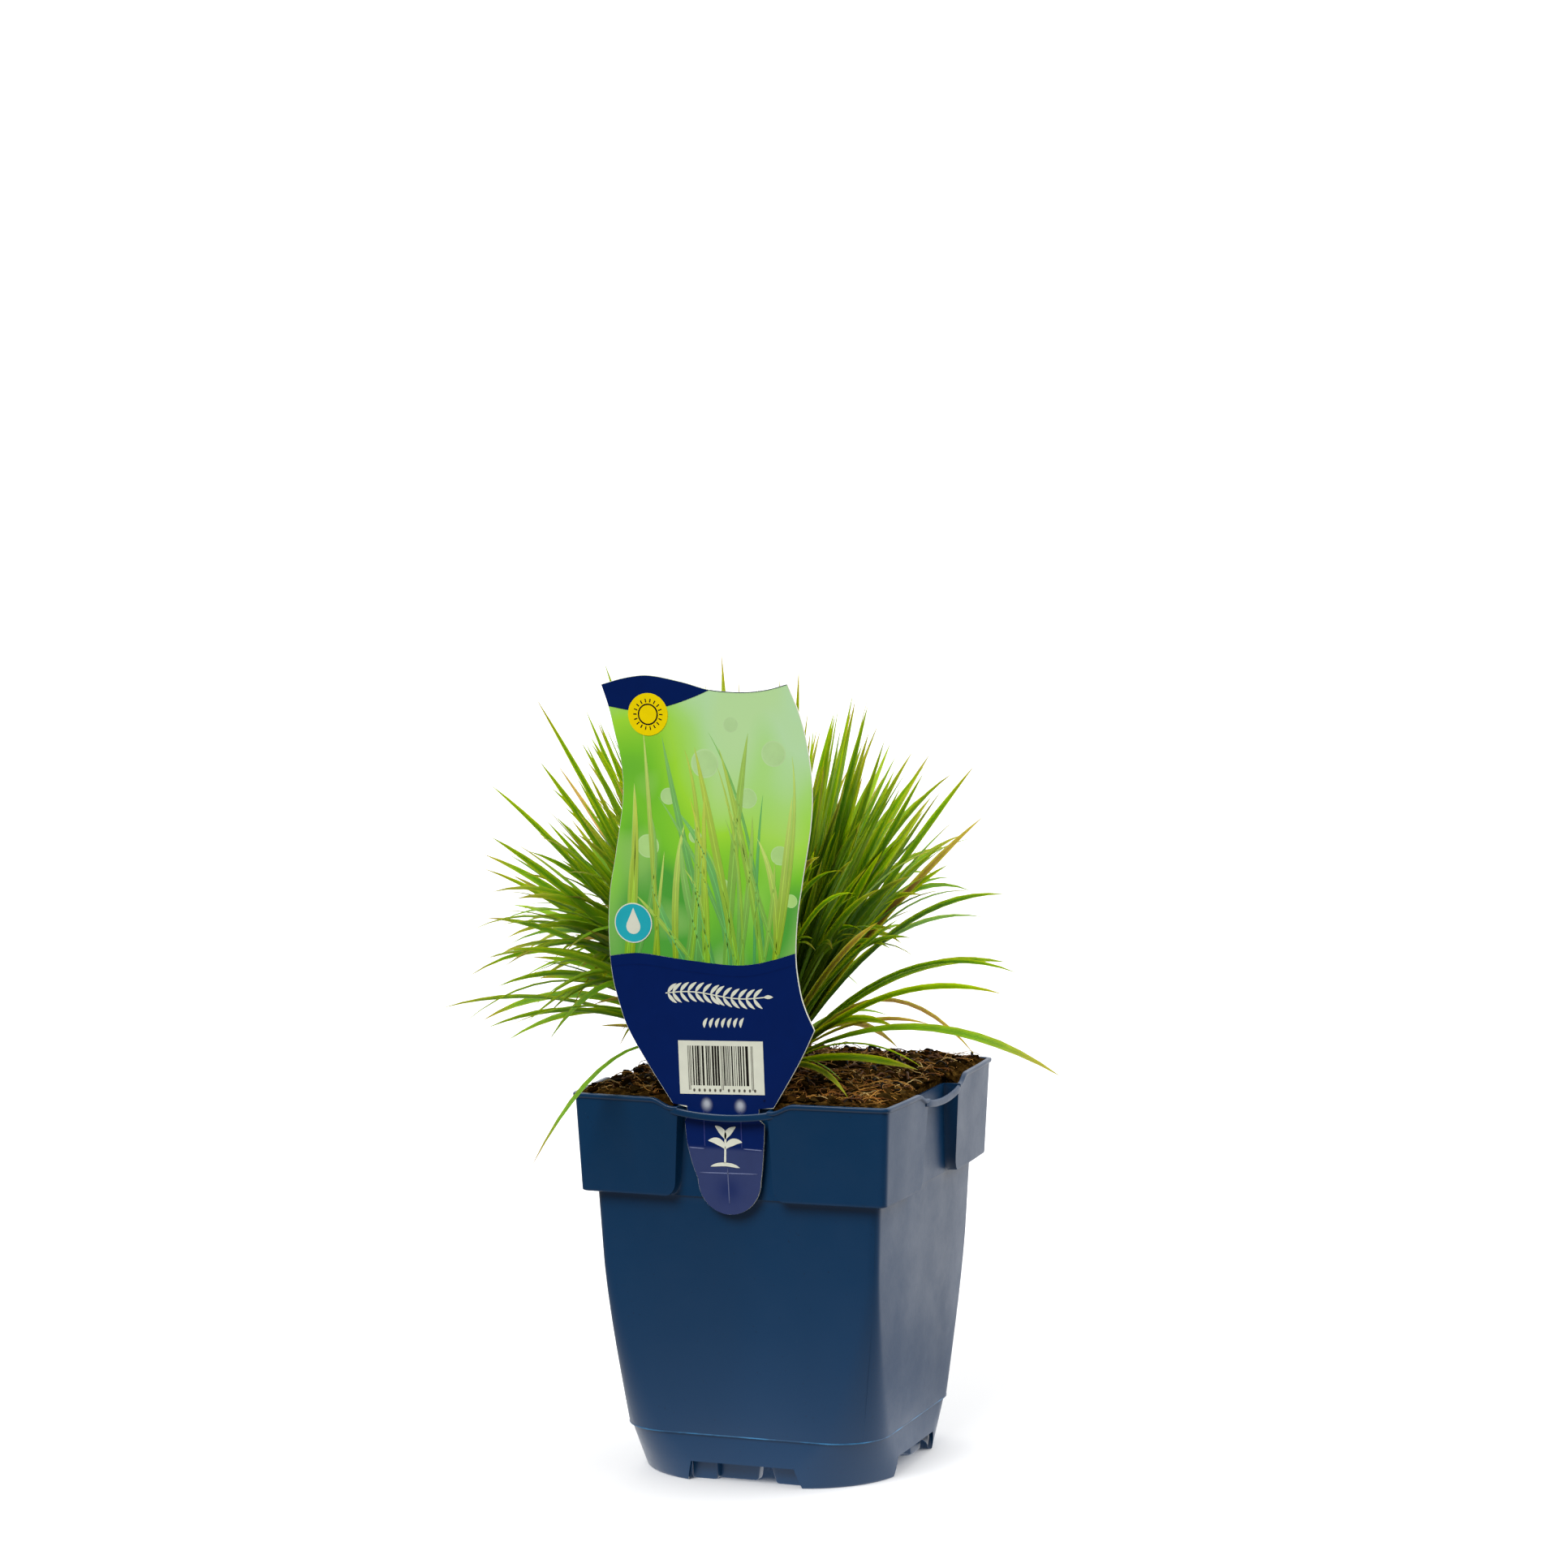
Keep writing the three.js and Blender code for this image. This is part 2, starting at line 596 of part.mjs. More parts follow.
// The sheathed base of a tuft, a short cone that its leaves grow out of.
function tuftBase(x, y, { radius, top, tall, deep }) {
  const geometry = new THREE.CylinderGeometry(top, radius, tall, 8);
  geometry.rotateX(Math.PI / 2);
  geometry.translate(x, y, GROUND + tall / 2);
  return solidOf(geometry).add(cylinder(x, y, radius, GROUND - deep, GROUND + 0.01, 8));
}

function tuft(x, y, base, leaves) {
  return tidied(wasm.Manifold.union([tuftBase(x, y, base), ...leaves.map(leaf)]), LEAF_TIDY);
}

// The soil with a plain hole for each tuft's base.
function soilWithHoles() {
  const hole = (x, y, { radius, deep }) => cylinder(x, y, radius + HOLE_GAP, GROUND - deep - GAP, ABOVE, 10);
  const holes = [hole(CROWN.x, CROWN.y, CENTRE_BASE)];
  for (let i = 0; i < TUFTS; i += 1) holes.push(hole(...tuftPlace(i), TUFT_BASE));
  return tidied(soil().subtract(wasm.Manifold.union(holes)), SOLID_TIDY);
}

const plant = new THREE.Group();
plant.add(meshOf(pot(), "pot", material.pot));
plant.add(meshOf(soilWithHoles(), "soil", material.soil));
plant.add(meshOf(plantLabel(), "plant_label", material.label));
plant.add(meshOf(tuft(CROWN.x, CROWN.y, CENTRE_BASE, centreLeaves()), "grass_tuft_centre", material.grass));
for (let i = 0; i < TUFTS; i += 1) {
  const [x, y] = tuftPlace(i);
  const leaves = [...tuftLeaves(i), ...namedLeaves(i)];
  const name = "grass_tuft_" + String(i + 1).padStart(2, "0");
  plant.add(meshOf(tuft(x, y, TUFT_BASE, leaves), name, material.grass));
}

export default plant;
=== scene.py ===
"""Potted blue hair grass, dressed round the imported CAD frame.

A square nursery pot of satin blue plastic holds peat soil, a flat printed label and a tussock of narrow
leaves. Everything is built in the frame's own axes: +Z up, the label's side faces -Y. Sizes in the classes
are in millimetres, as on a drawing, and MM turns them into metres when a mesh is made.
"""

import logging
import math
from dataclasses import dataclass, field
from enum import Enum
from typing import Callable, Sequence

import bpy
import numpy as np
from mathutils import Matrix


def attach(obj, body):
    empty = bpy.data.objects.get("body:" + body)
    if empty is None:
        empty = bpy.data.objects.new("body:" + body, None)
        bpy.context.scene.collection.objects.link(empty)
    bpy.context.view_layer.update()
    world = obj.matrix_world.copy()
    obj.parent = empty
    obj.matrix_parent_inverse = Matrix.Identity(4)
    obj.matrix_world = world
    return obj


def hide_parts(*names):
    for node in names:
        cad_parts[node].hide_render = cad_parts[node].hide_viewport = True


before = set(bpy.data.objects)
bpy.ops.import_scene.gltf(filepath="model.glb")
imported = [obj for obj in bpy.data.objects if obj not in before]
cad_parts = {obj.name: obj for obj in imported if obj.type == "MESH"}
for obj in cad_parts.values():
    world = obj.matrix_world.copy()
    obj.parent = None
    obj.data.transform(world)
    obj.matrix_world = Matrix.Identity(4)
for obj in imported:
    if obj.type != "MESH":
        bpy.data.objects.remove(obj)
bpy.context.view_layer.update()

MM = 0.001
BODY = "root"
Array = np.ndarray
Socket = bpy.types.NodeSocket
Pair = tuple[float, float]
Triple = tuple[float, float, float]
Number = float | Array
Colour = Sequence[float] | Array
Material = bpy.types.Material
log = logging.getLogger("potted_grass")


def mix(low: Number, high: Number, part: Number) -> Number:
    """Straight blend: low at part 0, high at part 1."""
    return low + (high - low) * part


def smooth_step(low: float, high: float, value: Array) -> Array:
    """Smooth rise from 0 below low to 1 above high, as 3t squared less 2t cubed.

    Args:
        low: where the rise starts.
        high: where the rise ends.
        value: the values to grade.

    Returns:
        The graded values, between 0 and 1.
    """
    t = np.clip((value - low) / (high - low), 0.0, 1.0)
    return t * t * (3.0 - 2.0 * t)


def draw(tuft: float | Array, leaf: float | Array, use: float) -> Array:
    """Even draw between 0 and 1, the same each time for a tuft, a leaf and a use: a large sine's fraction."""
    value = np.sin(np.asarray(tuft) * 37.719 + np.asarray(leaf) * 12.9898 + use * 78.233) * 43758.5453
    return value - np.floor(value)


def tint(first: Colour, second: Colour, part: Number) -> Array:
    """Straight blend of two colours: the first at part 0, the second at part 1."""
    return mix(np.array(first), np.array(second), part)


def opaque(colours: Array) -> Array:
    """Colours with a fourth value, which is 1 throughout."""
    return np.concatenate([colours, np.ones((*colours.shape[:-1], 1))], axis=-1)


def around(count: int) -> Array:
    """Angles of evenly spaced points round a circle, from 0."""
    return np.linspace(0.0, math.tau, count, endpoint=False)


def drawn_curve(start: Array, middle: Array, end: Array, t: Array) -> Array:
    """Parabola from start to end, drawn towards a middle point: shares (1 - t)^2, 2t(1 - t) and t^2."""
    return (1 - t) ** 2 * start + 2 * t * (1 - t) * middle + t**2 * end


def smooth_line(points: Sequence[Sequence[float]], steps: int) -> Array:
    """Smooth curve: on each span, a cubic that leaves every point along the line through its neighbours.

    Args:
        points: the points that the curve passes through.
        steps: samples on each span.

    Returns:
        The samples, one row each.
    """
    p = np.asarray(points, dtype=float)
    padded = np.vstack([2 * p[0] - p[1], p, 2 * p[-1] - p[-2]])
    t = np.linspace(0.0, 1.0, steps, endpoint=False)[None, :, None]
    a, b, c, d = (padded[i : len(padded) - 3 + i, None, :] for i in range(4))
    spans = 0.5 * (2 * b + (c - a) * t + (2 * a - 5 * b + 4 * c - d) * t**2 + (3 * b - a - 3 * c + d) * t**3)
    return np.vstack([spans.reshape(-1, p.shape[1]), p[-1:]])


def lumps(x: Array, y: Array, seed: int, count: int, fine: float) -> Array:
    """Lumpy field: a sum of sines with random headings, each weaker as its waves get finer.

    Args:
        x, y: coordinates in millimetres.
        seed: seed of the random headings.
        count: number of waves.
        fine: shortest wave in millimetres.

    Returns:
        The field, about -1 to 1.
    """
    rng = np.random.default_rng(seed)
    total = np.zeros(np.broadcast(x, y).shape)
    for length in np.geomspace(fine, fine * 12, count):
        heading, phase = rng.uniform(0, math.tau, 2)
        wave = math.tau / length
        straight = wave * (x * math.cos(heading) + y * math.sin(heading)) + phase
        winding = 1.7 * np.sin(wave * 0.6 * (x - y) + heading)
        total = total + (length / (fine * 12)) ** 0.5 * np.sin(straight + winding)
    return total / math.sqrt(count)


def grid_quads(rows: int, columns: int, closed_rows: bool = False, closed_columns: bool = False) -> Array:
    """Quads of a grid whose points are stored row by row.

    Args:
        rows: number of rows.
        columns: number of points in a row.
        closed_rows: whether the last row joins the first.
        closed_columns: whether the last point of a row joins its first.

    Returns:
        One row of four point numbers for each quad, facing out where rows rise and columns run anticlockwise.
    """
    r = np.arange(rows if closed_rows else rows - 1)[:, None]
    c = np.arange(columns if closed_columns else columns - 1)[None, :]
    r1, c1 = (r + 1) % rows, (c + 1) % columns
    corners = [r * columns + c, r * columns + c1, r1 * columns + c1, r1 * columns + c]
    return np.stack([np.broadcast_to(k, (r.size, c.size)) for k in corners], axis=-1).reshape(-1, 4)


def repeated(faces: Array, count: int, size: int) -> Array:
    """Faces of a count of like pieces, stored one after another with a size in points each."""
    return (faces[None] + (np.arange(count) * size)[:, None, None]).reshape(-1, faces.shape[1])


def placed(name: str, data: bpy.types.ID, *columns: Array) -> bpy.types.Object:
    """A new object in the scene, at the origin, or with the three axes and the place that are given."""
    thing = bpy.data.objects.new(name, data)
    bpy.context.scene.collection.objects.link(thing)
    if columns:
        thing.matrix_world = Matrix(np.vstack([np.column_stack(columns), [0.0, 0.0, 0.0, 1.0]]).tolist())
    return thing


def towards(turn: float, height: float) -> tuple[Array, Array]:
    """The way to a camera or a light and the level way to its right, from its turn and height in degrees."""
    a, e = math.radians(turn), math.radians(height)
    back = np.array([math.sin(a) * math.cos(e), -math.cos(a) * math.cos(e), math.sin(e)])
    return back, np.array([math.cos(a), math.sin(a), 0.0])


@dataclass
class Surface:
    """A mesh as arrays: points in millimetres, faces by corner count, and values on its points."""

    points: Array
    quads: Array = field(default_factory=lambda: np.zeros((0, 4), dtype=np.int64))
    tris: Array = field(default_factory=lambda: np.zeros((0, 3), dtype=np.int64))
    uv: Array | None = None
    ink: Array | None = None

    @staticmethod
    def joined(parts: Sequence["Surface"]) -> "Surface":
        """Several surfaces with the same kinds of values as one, each keeping its own points."""
        starts = np.cumsum([0] + [len(p.points) for p in parts[:-1]])
        return Surface(
            np.vstack([p.points for p in parts]),
            np.vstack([p.quads + s for p, s in zip(parts, starts)]),
            np.vstack([p.tris + s for p, s in zip(parts, starts)]),
            None if parts[0].uv is None else np.vstack([p.uv for p in parts]),
            None if parts[0].ink is None else np.vstack([p.ink for p in parts]),
        )

    def turned(self, quarter: int) -> "Surface":
        """The surface turned about Z by a number of quarter turns, anticlockwise from above."""
        c, s = [(1, 0), (0, 1), (-1, 0), (0, -1)][quarter % 4]
        points = self.points @ np.array([[c, s, 0], [-s, c, 0], [0, 0, 1]], dtype=float)
        return Surface(points, self.quads, self.tris, self.uv, self.ink)

    def piece(self, name: str, finish: Material, slot: str, *nodes: str, crease: float = 180.0
              ) -> bpy.types.Object:
        """Puts the surface into a mesh object that rides on the pot's body.

        Args:
            name: the object's name.
            finish: its material.
            slot: the record's material slot; not used.
            nodes: the CAD nodes that it replaces.
            crease: angle in degrees between two faces above which their edge is shaded sharp.

        Returns:
            The object, at the origin, unturned and unscaled.
        """
        mesh = bpy.data.meshes.new(name)
        corners = np.concatenate([self.quads.ravel(), self.tris.ravel()]).astype(np.int32)
        starts = np.concatenate(
            [np.arange(len(self.quads)) * 4, len(self.quads) * 4 + np.arange(len(self.tris)) * 3]
        ).astype(np.int32)
        mesh.vertices.add(len(self.points))
        mesh.vertices.foreach_set("co", (self.points * MM).astype(np.float32).ravel())
        mesh.loops.add(len(corners))
        mesh.loops.foreach_set("vertex_index", corners)
        mesh.polygons.add(len(starts))
        mesh.polygons.foreach_set("loop_start", starts)
        mesh.polygons.foreach_set("use_smooth", np.ones(len(starts), dtype=bool))
        if self.uv is not None:
            layer = mesh.uv_layers.new(name="along")
            layer.data.foreach_set("uv", self.uv[corners].astype(np.float32).ravel())
        if self.ink is not None:
            layer = mesh.color_attributes.new(name="ink", type="FLOAT_COLOR", domain="POINT")
            layer.data.foreach_set("color", self.ink.astype(np.float32).ravel())
        mesh.update(calc_edges=True)
        mesh.validate()
        mesh.set_sharp_from_angle(angle=math.radians(crease))
        mesh.materials.append(finish)
        thing = placed(name, mesh)
        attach(thing, BODY)
        if nodes:
            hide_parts(*nodes)
        log.info("%s: %d triangles", name, 2 * len(self.quads) + len(self.tris))
        return thing


class Nodes:
    """A node tree with short calls for the steps that finishes and surroundings share."""

    def __init__(self, tree: bpy.types.NodeTree) -> None:
        """Takes the tree that the calls add to."""
        self.tree = tree

    def put(self, socket: Socket, value: object) -> None:
        """Sets a socket to a constant, or joins it to another socket."""
        if isinstance(value, Socket):
            self.tree.links.new(value, socket)
        else:
            socket.default_value = value

    def step(self, kind: str, inputs: dict, output: str | int, **settings: object) -> Socket:
        """One output of a new node of a kind, with its inputs set or joined and its properties set."""
        made = self.tree.nodes.new(kind)
        for key, value in settings.items():
            setattr(made, key, value)
        for key, value in inputs.items():
            self.put(made.inputs[key], value)
        return made.outputs[output]

    def part(self, vector: Socket, axis: str) -> Socket:
        """The X, Y or Z of a vector."""
        return self.step("ShaderNodeSeparateXYZ", {"Vector": vector}, axis)

    def grade(self, value: Socket, low: float, high: float, to_low: float = 0.0, to_high: float = 1.0,
              rise: str = "LINEAR") -> Socket:
        """A value's range carried to another range, and held inside it."""
        ends = {"Value": value, "From Min": low, "From Max": high, "To Min": to_low, "To Max": to_high}
        return self.step("ShaderNodeMapRange", ends, "Result", interpolation_type=rise)

    def maths(self, operation: str, first: object, second: object = 0.0) -> Socket:
        """One step of arithmetic."""
        return self.step("ShaderNodeMath", {0: first, 1: second}, 0, operation=operation)

    def seen(self) -> Socket:
        """1 for what the camera sees straight on, and 0 for every other ray."""
        return self.step("ShaderNodeLightPath", {}, "Is Camera Ray")


class Recipe(Nodes):
    """A material in the making, with short calls for what the finishes use."""

    def __init__(self, name: str) -> None:
        """Starts a material with a Principled shader and its output."""
        self.material = bpy.data.materials.new(name)
        self.material.use_nodes = True
        super().__init__(self.material.node_tree)
        self.shader = self.tree.nodes["Principled BSDF"]
        self.place = self.step("ShaderNodeTexCoord", {}, "Object")

    def shade(self, name: str, value: object) -> None:
        """Sets one of the shader's inputs, or joins it to a socket."""
        self.put(self.shader.inputs[name], value)

    def ink(self) -> Socket:
        """The colour on the points of the mesh."""
        return self.step("ShaderNodeAttribute", {}, "Color", attribute_name="ink")

    def noise(self, scale: float, detail: float = 3.0, rough: float = 0.5, upright: float = 1.0) -> Socket:
        """Noise of a scale in waves per metre, with a share of the waves in the upright direction."""
        place = self.step("ShaderNodeMapping", {"Vector": self.place, "Scale": (1.0, 1.0, upright)}, "Vector")
        inputs = {"Vector": place, "Scale": scale, "Detail": detail, "Roughness": rough}
        return self.step("ShaderNodeTexNoise", inputs, "Fac")

    def ramp(self, value: Socket, stops: Sequence[tuple[float, Triple]]) -> Socket:
        """Colours graded along a value."""
        made = self.tree.nodes.new("ShaderNodeValToRGB")
        elements = made.color_ramp.elements
        while len(elements) < len(stops):
            elements.new(0.5)
        for element, (at, colour) in zip(elements, stops):
            element.position = at
            element.color = (*colour, 1.0)
        self.put(made.inputs["Fac"], value)
        return made.outputs["Color"]

    def blend(self, part: object, first: object, second: object, mode: str = "MIX") -> Socket:
        """Two colours blended by a part."""
        low, high = (v if isinstance(v, Socket) else (*v, 1.0) for v in (first, second))
        inputs = {"Factor": part, 6: low, 7: high}
        return self.step("ShaderNodeMix", inputs, 2, data_type="RGBA", blend_type=mode)

    def bump(self, height: Socket, distance: float, strength: float) -> None:
        """Adds a height to the shader's normal, over the heights before it, with its depth in metres."""
        normal = self.shader.inputs["Normal"]
        inputs = {"Height": height, "Distance": distance, "Strength": strength}
        if normal.is_linked:
            inputs["Normal"] = normal.links[0].from_socket
        self.put(normal, self.step("ShaderNodeBump", inputs, "Normal"))


@dataclass(frozen=True)
class PotPlastic:
    """Satin blue moulded plastic with dust, scratches, a faint flow pattern and, at the step, a lighter line
    that is partly wear and partly a painted highlight.
    """

    colour: Triple = (0.0003, 0.0262, 0.0775)
    dust: Triple = (0.20, 0.24, 0.27)
    wear_and_highlight: Triple = (0.022, 0.16, 0.34)
    dark: Triple = (0.002, 0.012, 0.032)
    roughness: float = 0.33
    ior: float = 1.42
    step: float = 0.0174

    def material(self) -> Material:
        """The finish as a node material."""
        r = Recipe("satin_blue_plastic")
        flow = r.grade(r.noise(14.0, 2.0, upright=0.35), 0.35, 0.7)
        tone = r.blend(flow, self.colour, tuple(1.22 * c for c in self.colour))
        height = r.part(r.place, "Z")
        # Lighter line along the flash at the step: a painted highlight where the flash catches the light,
        # made patchy like wear.
        above = r.grade(height, self.step - 0.00002, self.step + 0.00004)
        below = r.grade(height, self.step + 0.0004, self.step + 0.0006, 1.0, 0.0)
        patchy = r.grade(r.noise(75.0, 3.0, 0.6, 0.1), 0.42, 0.6, 0.15, 1.0)
        line = r.maths("MULTIPLY", r.maths("MULTIPLY", above, below), patchy)
        tone = r.blend(line, tone, self.wear_and_highlight)
        tone = r.blend(r.grade(r.noise(1100.0, 1.0, 0.5), 0.74, 0.80, 0.0, 0.7), tone, self.dark)
        specks = r.grade(r.noise(1500.0, 2.0, 0.6), 0.79, 0.83, 0.0, 0.4)
        scratches = r.grade(r.noise(260.0, 2.0, 0.7, 0.06), 0.77, 0.85, 0.0, 0.09)
        r.shade("Base Color", r.blend(r.maths("MAXIMUM", specks, scratches), tone, self.dust))
        smooth, rough = self.roughness - 0.04, self.roughness + 0.07
        r.shade("Roughness", r.grade(r.noise(70.0, 5.0, 0.7), 0.3, 0.7, smooth, rough))
        r.shade("IOR", self.ior)
        r.bump(r.noise(900.0, 4.0, 0.6), 0.00004, 0.5)
        r.bump(r.noise(22.0, 1.0, upright=0.3), 0.0006, 0.3)
        return r.material


@dataclass(frozen=True)
class Peat:
    """Moist dark peat, with lighter dry patches spread by noise."""

    wet: Triple = (0.0060, 0.0024, 0.0004)
    damp: Triple = (0.036, 0.018, 0.0036)
    dry: Triple = (0.135, 0.072, 0.015)

    def material(self) -> Material:
        """The finish as a node material."""
        r = Recipe("moist_peat")
        stops = [(0.36, self.wet), (0.52, self.damp), (0.68, self.dry), (0.85, self.damp)]
        r.shade("Base Color", r.ramp(r.noise(330.0, 5.0, 0.7), stops))
        r.shade("Roughness", r.grade(r.noise(600.0, 2.0), 0.4, 0.65, 0.62, 0.95))
        r.shade("Specular IOR Level", 0.0)
        r.bump(r.noise(1900.0, 6.0, 0.75), 0.0006, 0.9)
        return r.material


@dataclass(frozen=True)
class Inked:
    """A finish whose colour is on the points of the mesh, with fine grain over it."""

    name: str
    roughness: float
    grain_scale: float
    grain_depth: float
    contrast: float = 0.25
    shine: float = 0.5

    def material(self) -> Material:
        """The finish as a node material."""
        r = Recipe(self.name)
        grain = r.noise(self.grain_scale, 4.0, 0.65)
        shade = r.grade(grain, 0.3, 0.7, 1.0 - self.contrast, 1.0 + self.contrast * 0.5)
        r.shade("Base Color", r.blend(1.0, r.ink(), shade, "MULTIPLY"))
        r.shade("Specular IOR Level", self.shine)
        r.shade("Roughness", self.roughness)
        r.bump(grain, self.grain_depth, 0.6)
        return r.material


@dataclass(frozen=True)
class GrassLeaf:
    """Living leaf: colour on the points, fine lengthwise veins, a soft sheen and light that comes through."""

    vein_count: float = 6.0
    roughness: float = 0.46

    def material(self) -> Material:
        """The finish as a node material."""
        r = Recipe("grass_leaf")
        across = r.part(r.step("ShaderNodeUVMap", {}, "UV", uv_map="along"), "X")
        wave = r.maths("SINE", r.maths("MULTIPLY", across, self.vein_count * 2.0 * math.pi))
        veins = r.grade(wave, -1.0, 1.0, 0.84, 1.08)
        blotch = r.grade(r.noise(110.0, 3.0, 0.6), 0.3, 0.7, 0.80, 1.16)
        r.shade("Base Color", r.blend(1.0, r.ink(), r.maths("MULTIPLY", veins, blotch), "MULTIPLY"))
        r.shade("Roughness", self.roughness)
        r.shade("Specular IOR Level", 0.2)
        r.shade("Subsurface Weight", 0.4)
        r.shade("Subsurface Radius", (0.7, 1.0, 0.05))
        r.shade("Subsurface Scale", 0.0015)
        r.bump(wave, 0.00005, 0.5)
        return r.material


@dataclass(frozen=True)
class PrintedField:
    """The label's picture field: soft blurred greens under a pale sky, worked out from the place on it."""

    sky: Triple = (0.54, 0.82, 0.44)
    pale: Triple = (0.44, 0.80, 0.19)
    lime: Triple = (0.38, 0.78, 0.04)
    leaf: Triple = (0.21, 0.62, 0.03)
    deep: Triple = (0.08, 0.38, 0.04)
    soft: Triple = (0.56, 0.82, 0.26)
    low_z: float = 190.0
    high_z: float = 290.0

    def material(self) -> Material:
        """The finish as a node material."""
        r = Recipe("printed_field")
        height = r.grade(r.part(r.place, "Z"), self.low_z * MM, self.high_z * MM)
        slant = r.maths("MULTIPLY", r.part(r.place, "X"), 4.0)
        blur = r.noise(28.0, 1.5, 0.4, 0.6)
        patchy = r.maths("ADD", r.maths("ADD", height, slant), r.grade(blur, 0.2, 0.8, -0.55, 0.55))
        stops = [(0.0, self.deep), (0.18, self.leaf), (0.45, self.lime), (0.72, self.pale), (0.98, self.sky)]
        soft = r.grade(r.noise(60.0, 0.0, 0.3, 0.8), 0.5, 0.75, 0.0, 0.35)
        r.shade("Base Color", r.blend(soft, r.ramp(patchy, stops), self.soft))
        r.shade("Roughness", 0.32)
        r.bump(r.noise(16.0, 1.0), 0.0008, 0.12)
        return r.material


@dataclass(frozen=True)
class PlainPlastic:
    """Plain sheet or moulded plastic of one colour with a little mottle."""

    name: str
    colour: Triple
    roughness: float

    def material(self) -> Material:
        """The finish as a node material."""
        r = Recipe(self.name)
        mottle = r.grade(r.noise(120.0, 4.0, 0.6), 0.3, 0.7)
        r.shade("Base Color", r.blend(mottle, tuple(0.9 * c for c in self.colour), self.colour))
        r.shade("Roughness", self.roughness)
        r.bump(r.noise(16.0, 1.0), 0.0008, 0.12)
        return r.material


@dataclass(frozen=True)
class SquareOutline:
    """A square with round corners and bowed sides, from above, as a path that a profile is carried along."""

    half: Array
    corner: Array
    bulge: Array

    def side(self, flat: Array, turn_columns: Array) -> tuple[Array, Array]:
        """The front side from diagonal to diagonal, in x and distance out.

        Each row of the profile gives one outline. The flat columns come with their x. Beyond the last of them
        the points are spaced along the arc: first the straight rest, then the round corner.

        Args:
            flat: x of the points in the middle of the side, a row for each row of the profile or one for all.
            turn_columns: shares, above 0 to 1, of the way from the last flat column to the diagonal.

        Returns:
            Two arrays, x and the distance out, with a row for each row of the profile.
        """
        straight = (self.half - self.corner)[:, None]
        radius = self.corner[:, None]
        edge = float(flat[0, -1])
        start_angle = np.arcsin(np.clip((edge - straight) / radius, 0.0, 0.7))
        run = np.maximum(straight - edge, 0.0)
        way = turn_columns[None, :] * (run + radius * (math.pi / 4 - start_angle))
        angle = start_angle + np.maximum(way - run, 0.0) / radius
        turn_x = np.where(way > run, straight + radius * np.sin(angle), edge + way)
        middle = np.broadcast_to(flat, (len(self.half), flat.shape[1]))
        x = np.hstack([-turn_x[:, ::-1], middle, turn_x[:, :-1]])
        across = np.abs(x)
        out = straight + radius * np.cos(np.arcsin(np.clip((across - straight) / radius, 0.0, 1.0)))
        return x, out + self.bulge[:, None] * np.clip(1.0 - (across / straight) ** 2, 0.0, 1.0)


